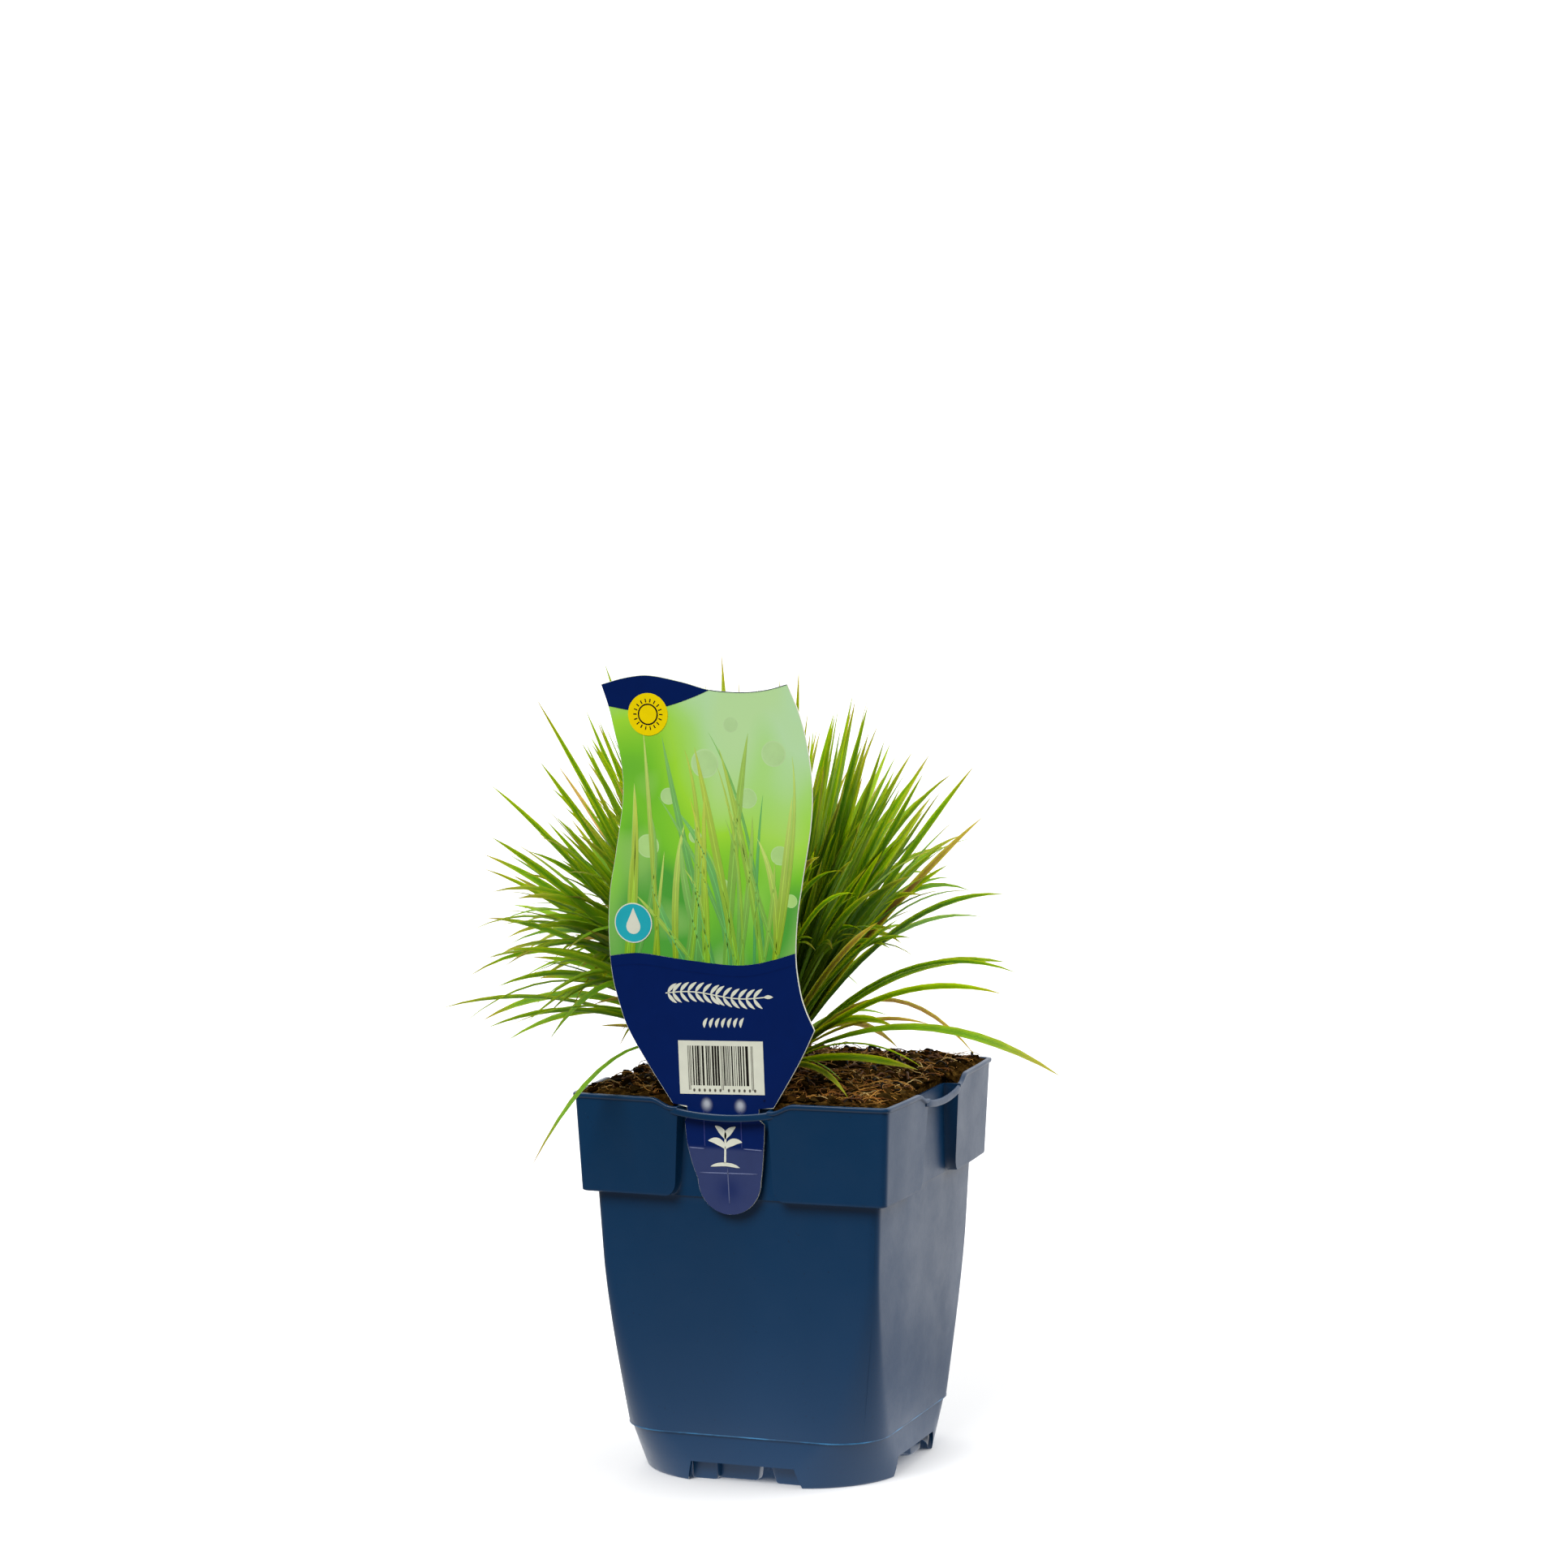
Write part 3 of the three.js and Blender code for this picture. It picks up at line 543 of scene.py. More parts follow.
@dataclass
class Pot:
    """The nursery pot: one thin moulded skin, carried round a square path, with straps, floor and feet."""

    height: float = 142.0
    wall: float = 1.2
    rim_half: float = 60.6
    bead_proud: float = 0.65
    collar_bottom: float = 106.0
    collar_half_low: float = 58.35
    body_half_top: float = 54.2
    body_half_low: float = 49.9
    step_height: float = 17.4
    skirt_half_top: float = 49.3
    foot_half: float = 49.2
    floor_bottom: float = 7.4
    floor_top: float = 8.6
    corner_small: float = 4.0
    collar_corner: float = 2.8
    corner_step: float = 19.5
    corner_base: float = 36.8
    even_above: float = 80.0
    bulge_rim: float = 1.9
    bulge_collar_low: float = 1.35
    bulge_body_top: float = 1.0
    recess_face: float = 55.9
    recess_left: Pair = (-18.7, -21.0)
    recess_right: Pair = (15.3, 16.8)
    recess_flare: float = 4.0
    rim_dip: float = 2.9
    strap_left: float = -21.6
    strap_right: float = 17.6
    strap_tall: float = 2.6
    strap_thick: float = 1.2
    strap_end_top: float = 139.2
    strap_middle_top: float = 137.3
    notch: Pair = (-20.0, 19.5)
    notch_splay: Pair = (-1.7, 2.8)
    flat_edge: float = 30.0
    flash: float = 0.13
    drain_radius: float = 4.5
    drain_out: float = 24.0

    def half_at(self, z: Array) -> Array:
        """Half of the body's width: straight lines from foot to step and from step to collar."""
        skirt = mix(self.foot_half, self.skirt_half_top, z / self.step_height)
        up = (z - self.step_height) / (self.collar_bottom - self.step_height)
        return np.where(z < self.step_height, skirt, mix(self.body_half_low, self.body_half_top, up))

    def corner_at(self, z: Array) -> Array:
        """Radius of the corners: it grows towards the base by the power 1.5, and faster in the skirt."""
        low = np.clip((self.even_above - z) / (self.even_above - self.step_height), 0.0, 1.0)
        body = self.corner_small + (self.corner_step - self.corner_small) * low**1.5
        skirt = mix(self.corner_base, self.corner_step, z / self.step_height)
        return np.where(z < self.step_height, skirt, body)

    def profile(self) -> Array:
        """The skin's section as a closed line, one row for each point.

        It runs from the skirt's inner edge down and round the foot, up the outside with the step and the
        collar's shelf, over the rim and down the inside to the floor.

        Returns:
            Rows of height, half width, corner radius, bulge and inset into the wall.
        """
        rows: list[tuple[float, float, float, float, float]] = []

        def add(z: float, half: float, inset: float) -> None:
            """Adds a point whose half width is measured at the outside."""
            on_collar = half > self.body_half_top + 1.0
            up = (z - self.collar_bottom) / (self.height - self.collar_bottom)
            corner = self.collar_corner if on_collar else float(self.corner_at(np.array(z)))
            rise = max((z - self.step_height) / (self.collar_bottom - self.step_height), 0.0)
            body_bulge = self.bulge_body_top * math.sqrt(rise)
            bulge = mix(self.bulge_collar_low, self.bulge_rim, up) if on_collar else body_bulge
            rows.append((z, half - inset, max(corner - inset, 1.5), bulge, inset))

        def body(z: float, inset: float, proud: float = 0.0) -> None:
            """Adds a point on the body at a height."""
            add(z, float(self.half_at(np.array(z))) + proud, inset)

        def collar(z: float, inset: float, proud: float = 0.0) -> None:
            """Adds a point on the collar at a height."""
            up = (z - self.collar_bottom) / (self.height - self.collar_bottom)
            add(z, mix(self.collar_half_low, self.rim_half - self.bead_proud, up) + proud, inset)

        skirt_wall = 1.6
        for z in (5.0, 1.0, 0.25):
            body(z, skirt_wall)
        body(0.0, skirt_wall - 0.3)
        body(0.0, 0.35)
        for z in (0.3, 1.0, 2.5, 4.5, 6.4, 7.4, 9.0, 12.0, 15.0, 16.8):
            body(z, 0.0)
        body(self.step_height - 0.12, 0.0)
        for above, proud in ((0.02, 0.0), (0.08, self.flash), (0.32, self.flash), (0.45, 0.0), (1.6, 0.0)):
            body(self.step_height + above, 0.0, proud)
        for z in np.concatenate([np.arange(22.0, 105.0, 3.0), [105.2]]):
            body(float(z), 0.0)
        low = self.collar_bottom
        body(low - 0.25, 0.0, 0.1)
        body(low, 0.0, 0.5)
        collar(low + 0.02, 0.0, -0.5)
        collar(low + 0.3, 0.0, -0.1)
        for above in (0.7, 1.2, 1.8, 2.6, 3.6, 5.2):
            collar(low + above, 0.0)
        for z in np.arange(113.0, 140.0, 2.2):
            collar(float(z), 0.0)
        bead = self.height - 1.5
        collar(bead - 0.35, 0.0)
        collar(bead, 0.0, self.bead_proud * 0.75)
        collar(bead + 0.35, 0.0, self.bead_proud)
        collar(self.height - 0.4, 0.0, self.bead_proud)
        collar(self.height - 0.1, 0.0, self.bead_proud - 0.15)
        collar(self.height, 0.0, self.bead_proud - 0.5)
        collar(self.height, self.wall - 0.3, 0.0)
        collar(self.height - 0.3, self.wall, 0.0)
        for z in (139.0, 135.0, 128.0, 118.0, 110.0, low + 1.4):
            collar(z, self.wall)
        for z in (low + 1.0, 96.0, 80.0, 60.0, 45.0, 30.0, 18.5):
            body(z, self.wall)
        for z in (17.0, 12.0, 8.0):
            body(z, skirt_wall)
        return np.array(rows)

    def recess_edges(self, z: Array, inset: Array) -> tuple[Array, Array]:
        """Left and right edge of the label recess, nearly upright and flared by a quarter circle at the foot.

        The recess widens by the inset into the wall.
        """
        up = (z - self.collar_bottom) / (self.height - self.collar_bottom)
        dip = np.clip(1.0 - (z - self.collar_bottom - 0.2) / 5.0, 0.0, 1.0)
        flare = self.recess_flare * (1.0 - np.sqrt(np.clip(1.0 - dip**2, 0.0, 1.0)))
        left = mix(self.recess_left[1], self.recess_left[0], up) - flare - inset
        return left, mix(self.recess_right[1], self.recess_right[0], up) + flare + inset

    def feature_edges(self, z: Array, inset: Array) -> tuple[Array, Array]:
        """The two edges that the columns follow: the recess's on the collar, the notch's in the skirt.

        On the body between them they go straight from the one pair to the other.
        """
        left, right = self.recess_edges(np.maximum(z, self.collar_bottom), inset)
        share = np.clip((z - self.step_height) / (self.collar_bottom - self.step_height), 0.0, 1.0)
        low = np.clip(1.0 - z / self.floor_bottom, 0.0, 1.0)
        return (mix(self.notch[0] + self.notch_splay[0] * low, left, share),
                mix(self.notch[1] + self.notch_splay[1] * low, right, share))

    def columns(self, left: Array, right: Array) -> Array:
        """x of each row's columns on the flat of a side, packed at the row's two edges."""
        near = np.array([-1.2, -0.4, 0.0, 0.1, 0.22, 0.38, 0.62, 1.0, 1.6, 2.6])
        by_left, by_right = left[:, None] + near, right[:, None] - near[::-1]
        middle = mix(by_left[:, -1:], by_right[:, :1], np.linspace(0.0, 1.0, 26)[1:-1])
        even = np.linspace(0.0, 1.0, 11)
        return np.hstack([mix(-self.flat_edge, by_left[:, :1], even[:-1]), by_left, middle, by_right,
                          mix(by_right[:, -1:], self.flat_edge, even[1:])])

    @staticmethod
    def sunk(inside: Array) -> Array:
        """Share of the recess's depth at a distance inside its edge: steep at the edge, then a hollow fillet.

        It is 1 less the seventh power of what is left of the fillet's 2.6 mm.
        """
        return 1.0 - (1.0 - np.clip(inside / 2.6, 0.0, 1.0)) ** 7

    def rim_height(self, along: Array) -> Array:
        """Height of the rim at a place along a side: it dips over the label recess."""
        return self.height - self.rim_dip * (1.0 - smooth_step(19.0, 27.0, np.abs(along + 2.0)))

    def skin(self) -> Surface:
        """The skin: the profile carried round the square path, with recesses, rim dips and skirt notches.

        On each side, a point of the collar goes from its own distance out to the recess face by the sunk
        share. Near the recess the rim's height falls by the dip. Between the notch's edges the skirt's points
        go up to the floor. Long low waves of a tenth of a millimetre give the walls their moulded unevenness.
        """
        rows = self.profile()
        z, half, corner, bulge, inset = rows.T
        left, right = self.feature_edges(z, inset)
        turn = 1.0 - (1.0 - np.linspace(0.0, 1.0, 25)[1:]) ** 1.5
        side_x, side_out = SquareOutline(half, corner, bulge).side(self.columns(left, right), turn)
        height = np.broadcast_to(z[:, None], side_x.shape)
        wall_inset = inset[:, None]
        inside = np.minimum(side_x - left[:, None], right[:, None] - side_x)
        on_collar = half[:, None] + wall_inset > self.body_half_top + 1
        proud = np.maximum(side_out - self.recess_face + wall_inset, 0.0)
        side_out = side_out - self.sunk(inside) * on_collar * proud
        top = smooth_step(self.height - 9.0, self.height, height)
        side_z = height - top * (self.height - self.rim_height(side_x))
        in_notch = (inside > 0.05) & (height < self.floor_bottom)
        side_z = np.where(in_notch, self.floor_bottom - 0.1, side_z)
        parts = []
        for quarter in range(4):
            wave = 0.10 * np.sin(side_x * 0.11 + 1.3 * quarter) * np.sin(side_z * 0.045 + quarter)
            wave = wave + 0.05 * np.sin(side_x * 0.23 - side_z * 0.03 + 2.1 * quarter)
            away = side_out + (wave - 0.12) * smooth_step(10.0, 40.0, side_z)
            front = Surface(np.stack([side_x, -away, side_z], axis=-1).reshape(-1, 3))
            parts.append(front.turned(quarter).points)
        ring = np.hstack([p.reshape(len(rows), -1, 3) for p in parts])
        quads = grid_quads(*ring.shape[:2], closed_rows=True, closed_columns=True)
        return Surface(ring.reshape(-1, 3), quads)

    def strap(self) -> Surface:
        """The bar over one recess: a rounded section carried along a line that sags and bows by parabolas."""
        across = np.linspace(-1.0, 1.0, 41)[:, None]
        x = mix(self.strap_left, self.strap_right, (across + 1.0) / 2.0)
        top = mix(self.strap_middle_top, self.strap_end_top, across**2)
        front = -(self.rim_half + self.bulge_rim - 0.05 - 0.9 * across**8)
        angle = around(16)[None, :]
        squared = 0.5
        section_y = np.sign(np.cos(angle)) * np.abs(np.cos(angle)) ** squared * self.strap_thick / 2
        section_z = np.sign(np.sin(angle)) * np.abs(np.sin(angle)) ** squared * self.strap_tall / 2
        y = front + self.strap_thick / 2 + section_y
        z = top - self.strap_tall / 2 + section_z
        grid = np.stack([np.broadcast_to(x, y.shape), y, z], axis=-1)
        return closed_bar(grid)

    def inner_feet(self) -> Surface:
        """The feet behind one notch: blocks with softened edges that taper a little to the ground."""
        high = self.floor_bottom + 0.6
        blocks = [((-21.5, -21.5), (-11.6, -11.6), -44.5), ((-12.2, -12.2), (2.9, 4.0), -41.4),
                  ((10.6, 8.3), (22.5, 22.5), -43.5)]
        return Surface.joined([soft_block(x0, x1, y0, -36.5, 0.0, high, 0.7) for x0, x1, y0 in blocks])

    def floor(self) -> Surface:
        """The floor with its four drain holes, in quarters that meet on the diagonals."""
        return Surface.joined([self.floor_quarter().turned(quarter) for quarter in range(4)])

    def floor_quarter(self) -> Surface:
        """One quarter of the floor, a closed plate between the drain hole and the quarter's outline.

        Rays leave the hole's centre all round. Each ends where it first meets a diagonal, the front line or
        the round corner of the skirt.
        """
        steps = 64
        angle = around(steps)
        dx, dy = np.cos(angle), np.sin(angle)
        direction = np.stack([dx, dy], -1)
        centre = np.array([0.0, -self.drain_out])
        hole = centre + self.drain_radius * direction
        reach = self.foot_half - 1.0
        to_front = np.where(dy < 0, (-reach - centre[1]) / np.minimum(dy, -1e-9), np.inf)
        left, right = (self.drain_out / np.maximum(k, 1e-9) for k in (dy + dx, dy - dx))
        radius = float(self.corner_at(np.array(self.floor_bottom)))
        turn_at = self.foot_half - radius
        away = np.stack([-np.sign(dx) * turn_at, np.full(steps, centre[1] + turn_at)], -1)
        half_way = np.sum(away * direction, axis=-1)
        root = half_way**2 - np.sum(away**2, axis=-1) + (radius - 1.0) ** 2
        to_arc = np.sqrt(np.maximum(root, 0.0)) - half_way
        met = centre + direction * to_arc[:, None]
        round_off = (root > 0) & (np.abs(met[:, 0]) > turn_at) & (met[:, 1] < -turn_at)
        far = np.minimum(np.where(round_off, to_arc, to_front), np.minimum(left, right))
        edge = centre + direction * far[:, None]
        share = np.linspace(0.0, 1.0, 5)[:, None, None]
        flat = hole[None] * (1 - share) + edge[None] * share
        low = np.dstack([flat, np.full(flat.shape[:2], self.floor_bottom)])
        high = np.dstack([flat[::-1], np.full(flat.shape[:2], self.floor_top)])
        grid = np.vstack([low, high])
        return Surface(grid.reshape(-1, 3), grid_quads(*grid.shape[:2], True, True)[:, ::-1])

    def build(self) -> None:
        """Builds and dresses the pot."""
        parts = [self.skin(), self.floor()]
        for quarter in range(4):
            parts += [self.strap().turned(quarter), self.inner_feet().turned(quarter)]
        whole = Surface.joined(parts)
        whole.piece("moulded_pot", PotPlastic().material(), "pot_plastic", "pot", crease=38.0)


def end_fans(rings: int, count: int) -> Array:
    """Triangles that close both ends of a stack of rings, round two points that are stored after them."""
    i = np.arange(count)
    j = (i + 1) % count
    first, last = rings * count, (rings - 1) * count
    return np.vstack([np.stack([np.full(count, first), j, i], -1),
                      np.stack([np.full(count, first + 1), last + i, last + j], -1)])


def closed_bar(grid: Array) -> Surface:
    """A closed bar from its rings of points, with a fan over each end."""
    rings, count = grid.shape[:2]
    points = np.vstack([grid.reshape(-1, 3), grid[0].mean(axis=0), grid[-1].mean(axis=0)])
    return outward(Surface(points, grid_quads(rings, count, closed_columns=True), end_fans(rings, count)))


def outward(surface: Surface) -> Surface:
    """The closed surface, turned inside out if the volume summed from its triangles is negative."""
    q, t, p = surface.quads, surface.tris, surface.points
    fans = np.vstack([q[:, [0, 1, 2]], q[:, [0, 2, 3]], t])
    volume = np.einsum("ij,ij->", p[fans[:, 0]], np.cross(p[fans[:, 1]], p[fans[:, 2]]))
    if volume < 0:
        return Surface(p, q[:, ::-1], t[:, ::-1], surface.uv, surface.ink)
    return surface


def soft_block(left: Pair, right: Pair, y0: float, y1: float, z0: float, z1: float, soft: float) -> Surface:
    """A block with softened edges: round rectangles from bottom to top, the end ones drawn in.

    Args:
        left: lowest x at the bottom and at the top.
        right: highest x at the bottom and at the top.
        y0, y1: lowest and highest y.
        z0, z1: lowest and highest z.
        soft: width of the softened edge.
    """
    angle = around(32) + math.pi / 32
    c, s = np.cos(angle), np.sin(angle)
    rings = []
    for z, draw_in in ((z0, 0.9 * soft), (z0 + 0.3 * soft, 0.4 * soft), (z0 + soft, 0.0), (z1, 0.0)):
        x0, x1 = (mix(side[0], side[1], (z - z0) / (z1 - z0)) for side in (left, right))
        x = (x0 + x1) / 2 + ((x1 - x0) / 2 - draw_in) * np.sign(c) * np.abs(c) ** 0.16
        y = (y0 + y1) / 2 + ((y1 - y0) / 2 - 0.3 * draw_in) * np.sign(s) * np.abs(s) ** 0.16
        rings.append(np.stack([x, y, np.full(x.shape, z)], -1))
    return closed_bar(np.array(rings))


def bent_tubes(paths: Array, radius: Array, sides: int) -> Surface:
    """Many thin tubes at once: each path's points get a ring of sides across its own heading.

    Args:
        paths: points of the paths, as path, station and x, y, z.
        radius: radius at each station of each path.
        sides: number of sides.

    Returns:
        The tubes, open at their narrow ends.
    """
    heading = np.gradient(paths, axis=1)
    heading /= np.maximum(np.linalg.norm(heading, axis=-1, keepdims=True), 1e-9)
    across = np.cross(heading, [0.0, 0.0, 1.0])
    across /= np.maximum(np.linalg.norm(across, axis=-1, keepdims=True), 1e-6)
    over = np.cross(heading, across)
    angle = around(sides)
    ring = (
        paths[:, :, None, :]
        + radius[:, :, None, None] * np.cos(angle)[None, None, :, None] * across[:, :, None, :]
        + radius[:, :, None, None] * np.sin(angle)[None, None, :, None] * over[:, :, None, :]
    )
    count, stations = paths.shape[:2]
    quads = repeated(grid_quads(stations, sides, closed_columns=True), count, stations * sides)
    return Surface(ring.reshape(-1, 3), quads[:, ::-1])


class Litter(Enum):
    """Kinds of plant litter on the peat, with the colour of each."""

    GOLDEN_FIBRE = (0.36, 0.17, 0.030)
    ORANGE_FIBRE = (0.24, 0.085, 0.014)
    BROWN_TWIG = (0.080, 0.032, 0.010)
    PALE_STRAW = (0.46, 0.32, 0.12)
    CHAR = (0.010, 0.006, 0.003)


@dataclass
class SoilFill:
    """The peat: a block that fills the pot to its rim, with a crumbly domed top, crumbs, fibres and twigs."""

    pot: Pot
    middle_height: float = 143.5
    shoulder_height: float = 142.3
    below_rim: float = 0.45
    edge_wide: float = 2.6
    inset: float = 1.5
    crumb_count: int = 2900
    chip_count: int = 260
    seed: int = 11

    def height_at(self, x: Array, y: Array) -> Array:
        """Height of the peat: a low dome with lumps of many sizes, which drops to the rim at its edge."""
        half = self.pot.rim_half - self.inset
        far = np.maximum(np.abs(x), np.abs(y))
        along = np.where(np.abs(x) > np.abs(y), np.sign(x) * y, -np.sign(y) * x)
        out = np.clip(far / half, 0.0, 1.0)
        dome = mix(self.middle_height, self.shoulder_height, out**2)
        dome = dome + 0.8 * np.clip((y - x) / 120.0, -1.0, 1.0)
        dome = dome + 1.15 * lumps(x, y, self.seed, 5, 7.0) + 0.35 * lumps(x, y, self.seed + 3, 3, 2.6)
        edge = self.pot.rim_height(along) - self.below_rim
        drop = smooth_step(half - self.edge_wide, half, far)
        return mix(dome, np.minimum(edge, dome), drop)

    def block(self) -> Surface:
        """The block: the pot's inner outline, shrunk ring by ring to the middle, then taken down the wall.

        Down the wall each ring is a share of the first one, and its corners are drawn in with the square of
        how near they are to the diagonal.
        """
        pot = self.pot
        share = np.concatenate([np.linspace(0.004, 0.9, 130), np.linspace(0.9, 1.0, 24)[1:]])
        values = (np.array([k]) for k in (pot.rim_half - pot.bead_proud - self.inset, 2.2, pot.bulge_rim))
        flat = np.linspace(-pot.flat_edge, pot.flat_edge, 77)[None, :]
        side_x, out = (k[0] for k in SquareOutline(*values).side(flat, np.linspace(0.0, 1.0, 36)[1:]))
        left, right = pot.recess_edges(np.full(side_x.shape, 130.0), np.full(side_x.shape, self.inset))
        sunk = pot.sunk(np.minimum(side_x - left, right - side_x))
        side_y = -out + sunk * np.maximum(out - pot.recess_face + self.inset, 0.0)
        front = Surface(np.stack([side_x, side_y, np.zeros(side_x.shape)], -1))
        ring = np.vstack([front.turned(q).points for q in range(4)])[:, :2]
        x, y = np.moveaxis(share[:, None, None] * ring[None], -1, 0)
        ridges = np.abs(lumps(x, y, self.seed + 2, 4, 0.9))
        fine = 0.6 * lumps(x, y, self.seed + 1, 6, 1.6) + 0.3 * ridges
        z = self.height_at(x, y) + fine * (1.0 - smooth_step(0.985, 1.0, share)[:, None])
        rings = list(np.dstack([x, y, z]))
        levels = np.array([130.0, 112.0, 108.2, 106.5, 80.0, 60.0, 40.0, 25.0, 18.5, 16.0, 9.2])
        narrow = np.interp(levels, [108.2, 112.0, 130.0], [0.90, 0.93, 1.0])
        narrow = np.where(levels > 108, narrow, pot.half_at(levels) / pot.rim_half)
        corner_pull = np.clip(1.0 - 0.0035 * np.maximum(pot.corner_at(levels) - 3.0, 0.0), 0.8, 1.0)
        diagonal = np.abs(ring[:, 0] * ring[:, 1]) / (pot.rim_half**2)
        for level, scale, pull in zip(levels, narrow, corner_pull):
            shrink = scale * 0.985 * (1.0 - (1.0 - pull) * 2.2 * diagonal**2)
            rings.append(np.column_stack([ring * shrink[:, None], np.full(len(ring), level)]))
        return closed_bar(np.array(rings))

    def scattered(self, rng: np.random.Generator, count: int, reach: float) -> tuple[Array, Array]:
        """Even random places on the peat, within a reach of the pot's middle along both axes."""
        return rng.uniform(-reach, reach, count), rng.uniform(-reach, reach, count)

    def crumbs(self) -> Surface:
        """Crumbs and flat chips: a many-sided double cone for each, stretched, turned and pushed about."""
        rng = np.random.default_rng(self.seed + 5)
        count, sides = self.crumb_count + self.chip_count, 7
        chip = np.arange(count) >= self.crumb_count
        x, y = self.scattered(rng, count, 56.2)
        size = np.where(chip, rng.uniform(0.9, 1.7, count), 0.42 + 2.1 * rng.random(count) ** 3.2)
        stretch = np.where(chip, rng.uniform(1.6, 3.0, count), rng.uniform(1.0, 1.5, count))[:, None, None]
        turn = rng.uniform(0.0, math.tau, count)[:, None, None]
        z = self.height_at(x, y) + np.where(chip, 0.35, 0.12 * size)
        angle = around(sides)
        levels, widths = np.array([-0.75, 0.1, 0.7]), np.array([0.55, 1.0, 0.6])
        wobble = rng.uniform(0.6, 1.35, (count, 3, sides)) * size[:, None, None] * widths[None, :, None]
        long_way, short_way = wobble * np.cos(angle) * stretch, wobble * np.sin(angle) / np.sqrt(stretch)
        ring_x = x[:, None, None] + long_way * np.cos(turn) - short_way * np.sin(turn)
        ring_y = y[:, None, None] + long_way * np.sin(turn) + short_way * np.cos(turn)
        tall = np.where(chip, 0.22, rng.uniform(0.5, 1.05, count)) * size
        rough = levels[None, :, None] + rng.uniform(-0.25, 0.25, wobble.shape)
        ring_z = z[:, None, None] + tall[:, None, None] * rough
        rings = np.stack([ring_x, ring_y, ring_z], -1).reshape(count, 3 * sides, 3)
        poles = np.stack([np.stack([x, y, z - tall * 0.9], -1), np.stack([x, y, z + tall * 0.85], -1)], 1)
        points = np.concatenate([rings, poles], axis=1)
        corners = points.shape[1]
        quads = repeated(grid_quads(3, sides, closed_columns=True), count, corners)
        tris = repeated(end_fans(3, sides), count, corners)
        shade = rng.choice([0.25, 0.6, 1.1, 2.2], count, p=[0.32, 0.33, 0.23, 0.12]) * 0.034
        warm = rng.uniform(0.42, 0.6, count)
        ink = opaque(np.column_stack([shade, shade * warm, shade * warm**2 * 0.45]))
        return Surface(points.reshape(-1, 3), quads, tris, ink=np.repeat(ink, corners, axis=0))

    def strands(self) -> Surface:
        """Fibres and twigs: short tubes whose heading turns evenly in plan, and which arch off the peat.

        Each kind has its count, least and greatest length, radius and how much it curls.
        """
        rng = np.random.default_rng(self.seed + 9)
        kinds = [(Litter.GOLDEN_FIBRE, 760, 5.0, 20.0, 0.15, 130.0),
                 (Litter.ORANGE_FIBRE, 460, 4.0, 15.0, 0.15, 150.0),
                 (Litter.BROWN_TWIG, 130, 4.0, 12.0, 0.40, 25.0),
                 (Litter.PALE_STRAW, 150, 3.0, 12.0, 0.22, 45.0),
                 (Litter.CHAR, 130, 2.0, 6.0, 0.45, 20.0)]
        stations, sides = 10, 5
        t = np.linspace(0.0, 1.0, stations)[None, :]
        parts = []
        for kind, count, short, long, thick, curl in kinds:
            x, y = self.scattered(rng, count, 55.0)
            start = rng.uniform(0, math.tau, count)[:, None]
            length = rng.uniform(short, long, count)[:, None]
            turn = np.radians(np.clip(rng.normal(0.0, curl, count), -260.0, 260.0))[:, None]
            heading = start + turn * (t - 0.5)
            step = length / (stations - 1)
            px, py = np.cumsum(step * np.cos(heading), axis=1), np.cumsum(step * np.sin(heading), axis=1)
            px = np.clip(px - px.mean(axis=1, keepdims=True) + x[:, None], -57.0, 57.0)
            py = np.clip(py - py.mean(axis=1, keepdims=True) + y[:, None], -55.5, 57.0)
            lift = rng.uniform(0.1, 1.0, count)[:, None] ** 2 * 2.6 * 4 * t * (1 - t)
            lift = lift * np.minimum(length / long, 1.0)
            pz = self.height_at(px, py) + 0.2 + thick + lift + 0.3 * np.sin(8 * t + start)
            taper = np.sqrt(np.maximum(1.02 - (2 * t - 1) ** 6, 0.02))
            radius = thick * rng.uniform(0.6, 1.3, count)[:, None] * taper
            tube = bent_tubes(np.stack([px, py, pz], -1), radius, sides)
            tone = rng.uniform(0.45, 1.45, count)[:, None] * np.array([kind.value])
            tube.ink = np.repeat(opaque(tone), stations * sides, axis=0)
            parts.append(tube)
        return Surface.joined(parts)

    def build(self) -> None:
        """Builds and dresses the peat, its crumbs and its strands; the crumbs and strands are darkened
        towards the left as painted shade.
        """
        self.block().piece("peat_fill", Peat().material(), "peat", "soil")
        crumb = Inked("peat_crumb", 0.85, 1500.0, 0.0004, 0.5, 0.0)
        fibre = Inked("peat_fibre", 0.6, 900.0, 0.0001, 0.35, 0.1)
        crumbs, strands = self.crumbs(), self.strands()
        # Painted shade: the crumbs' and strands' colours darken towards the left, where the leaves shade the
        # peat.
        for part in (crumbs, strands):
            part.ink[:, :3] *= mix(0.5, 1.0, smooth_step(-45.0, 10.0, part.points[:, :1]))
        crumbs.piece("peat_crumbs", crumb.material(), "peat", "soil", crease=35.0)
        strands.piece("peat_fibres", fibre.material(), "peat", "soil")


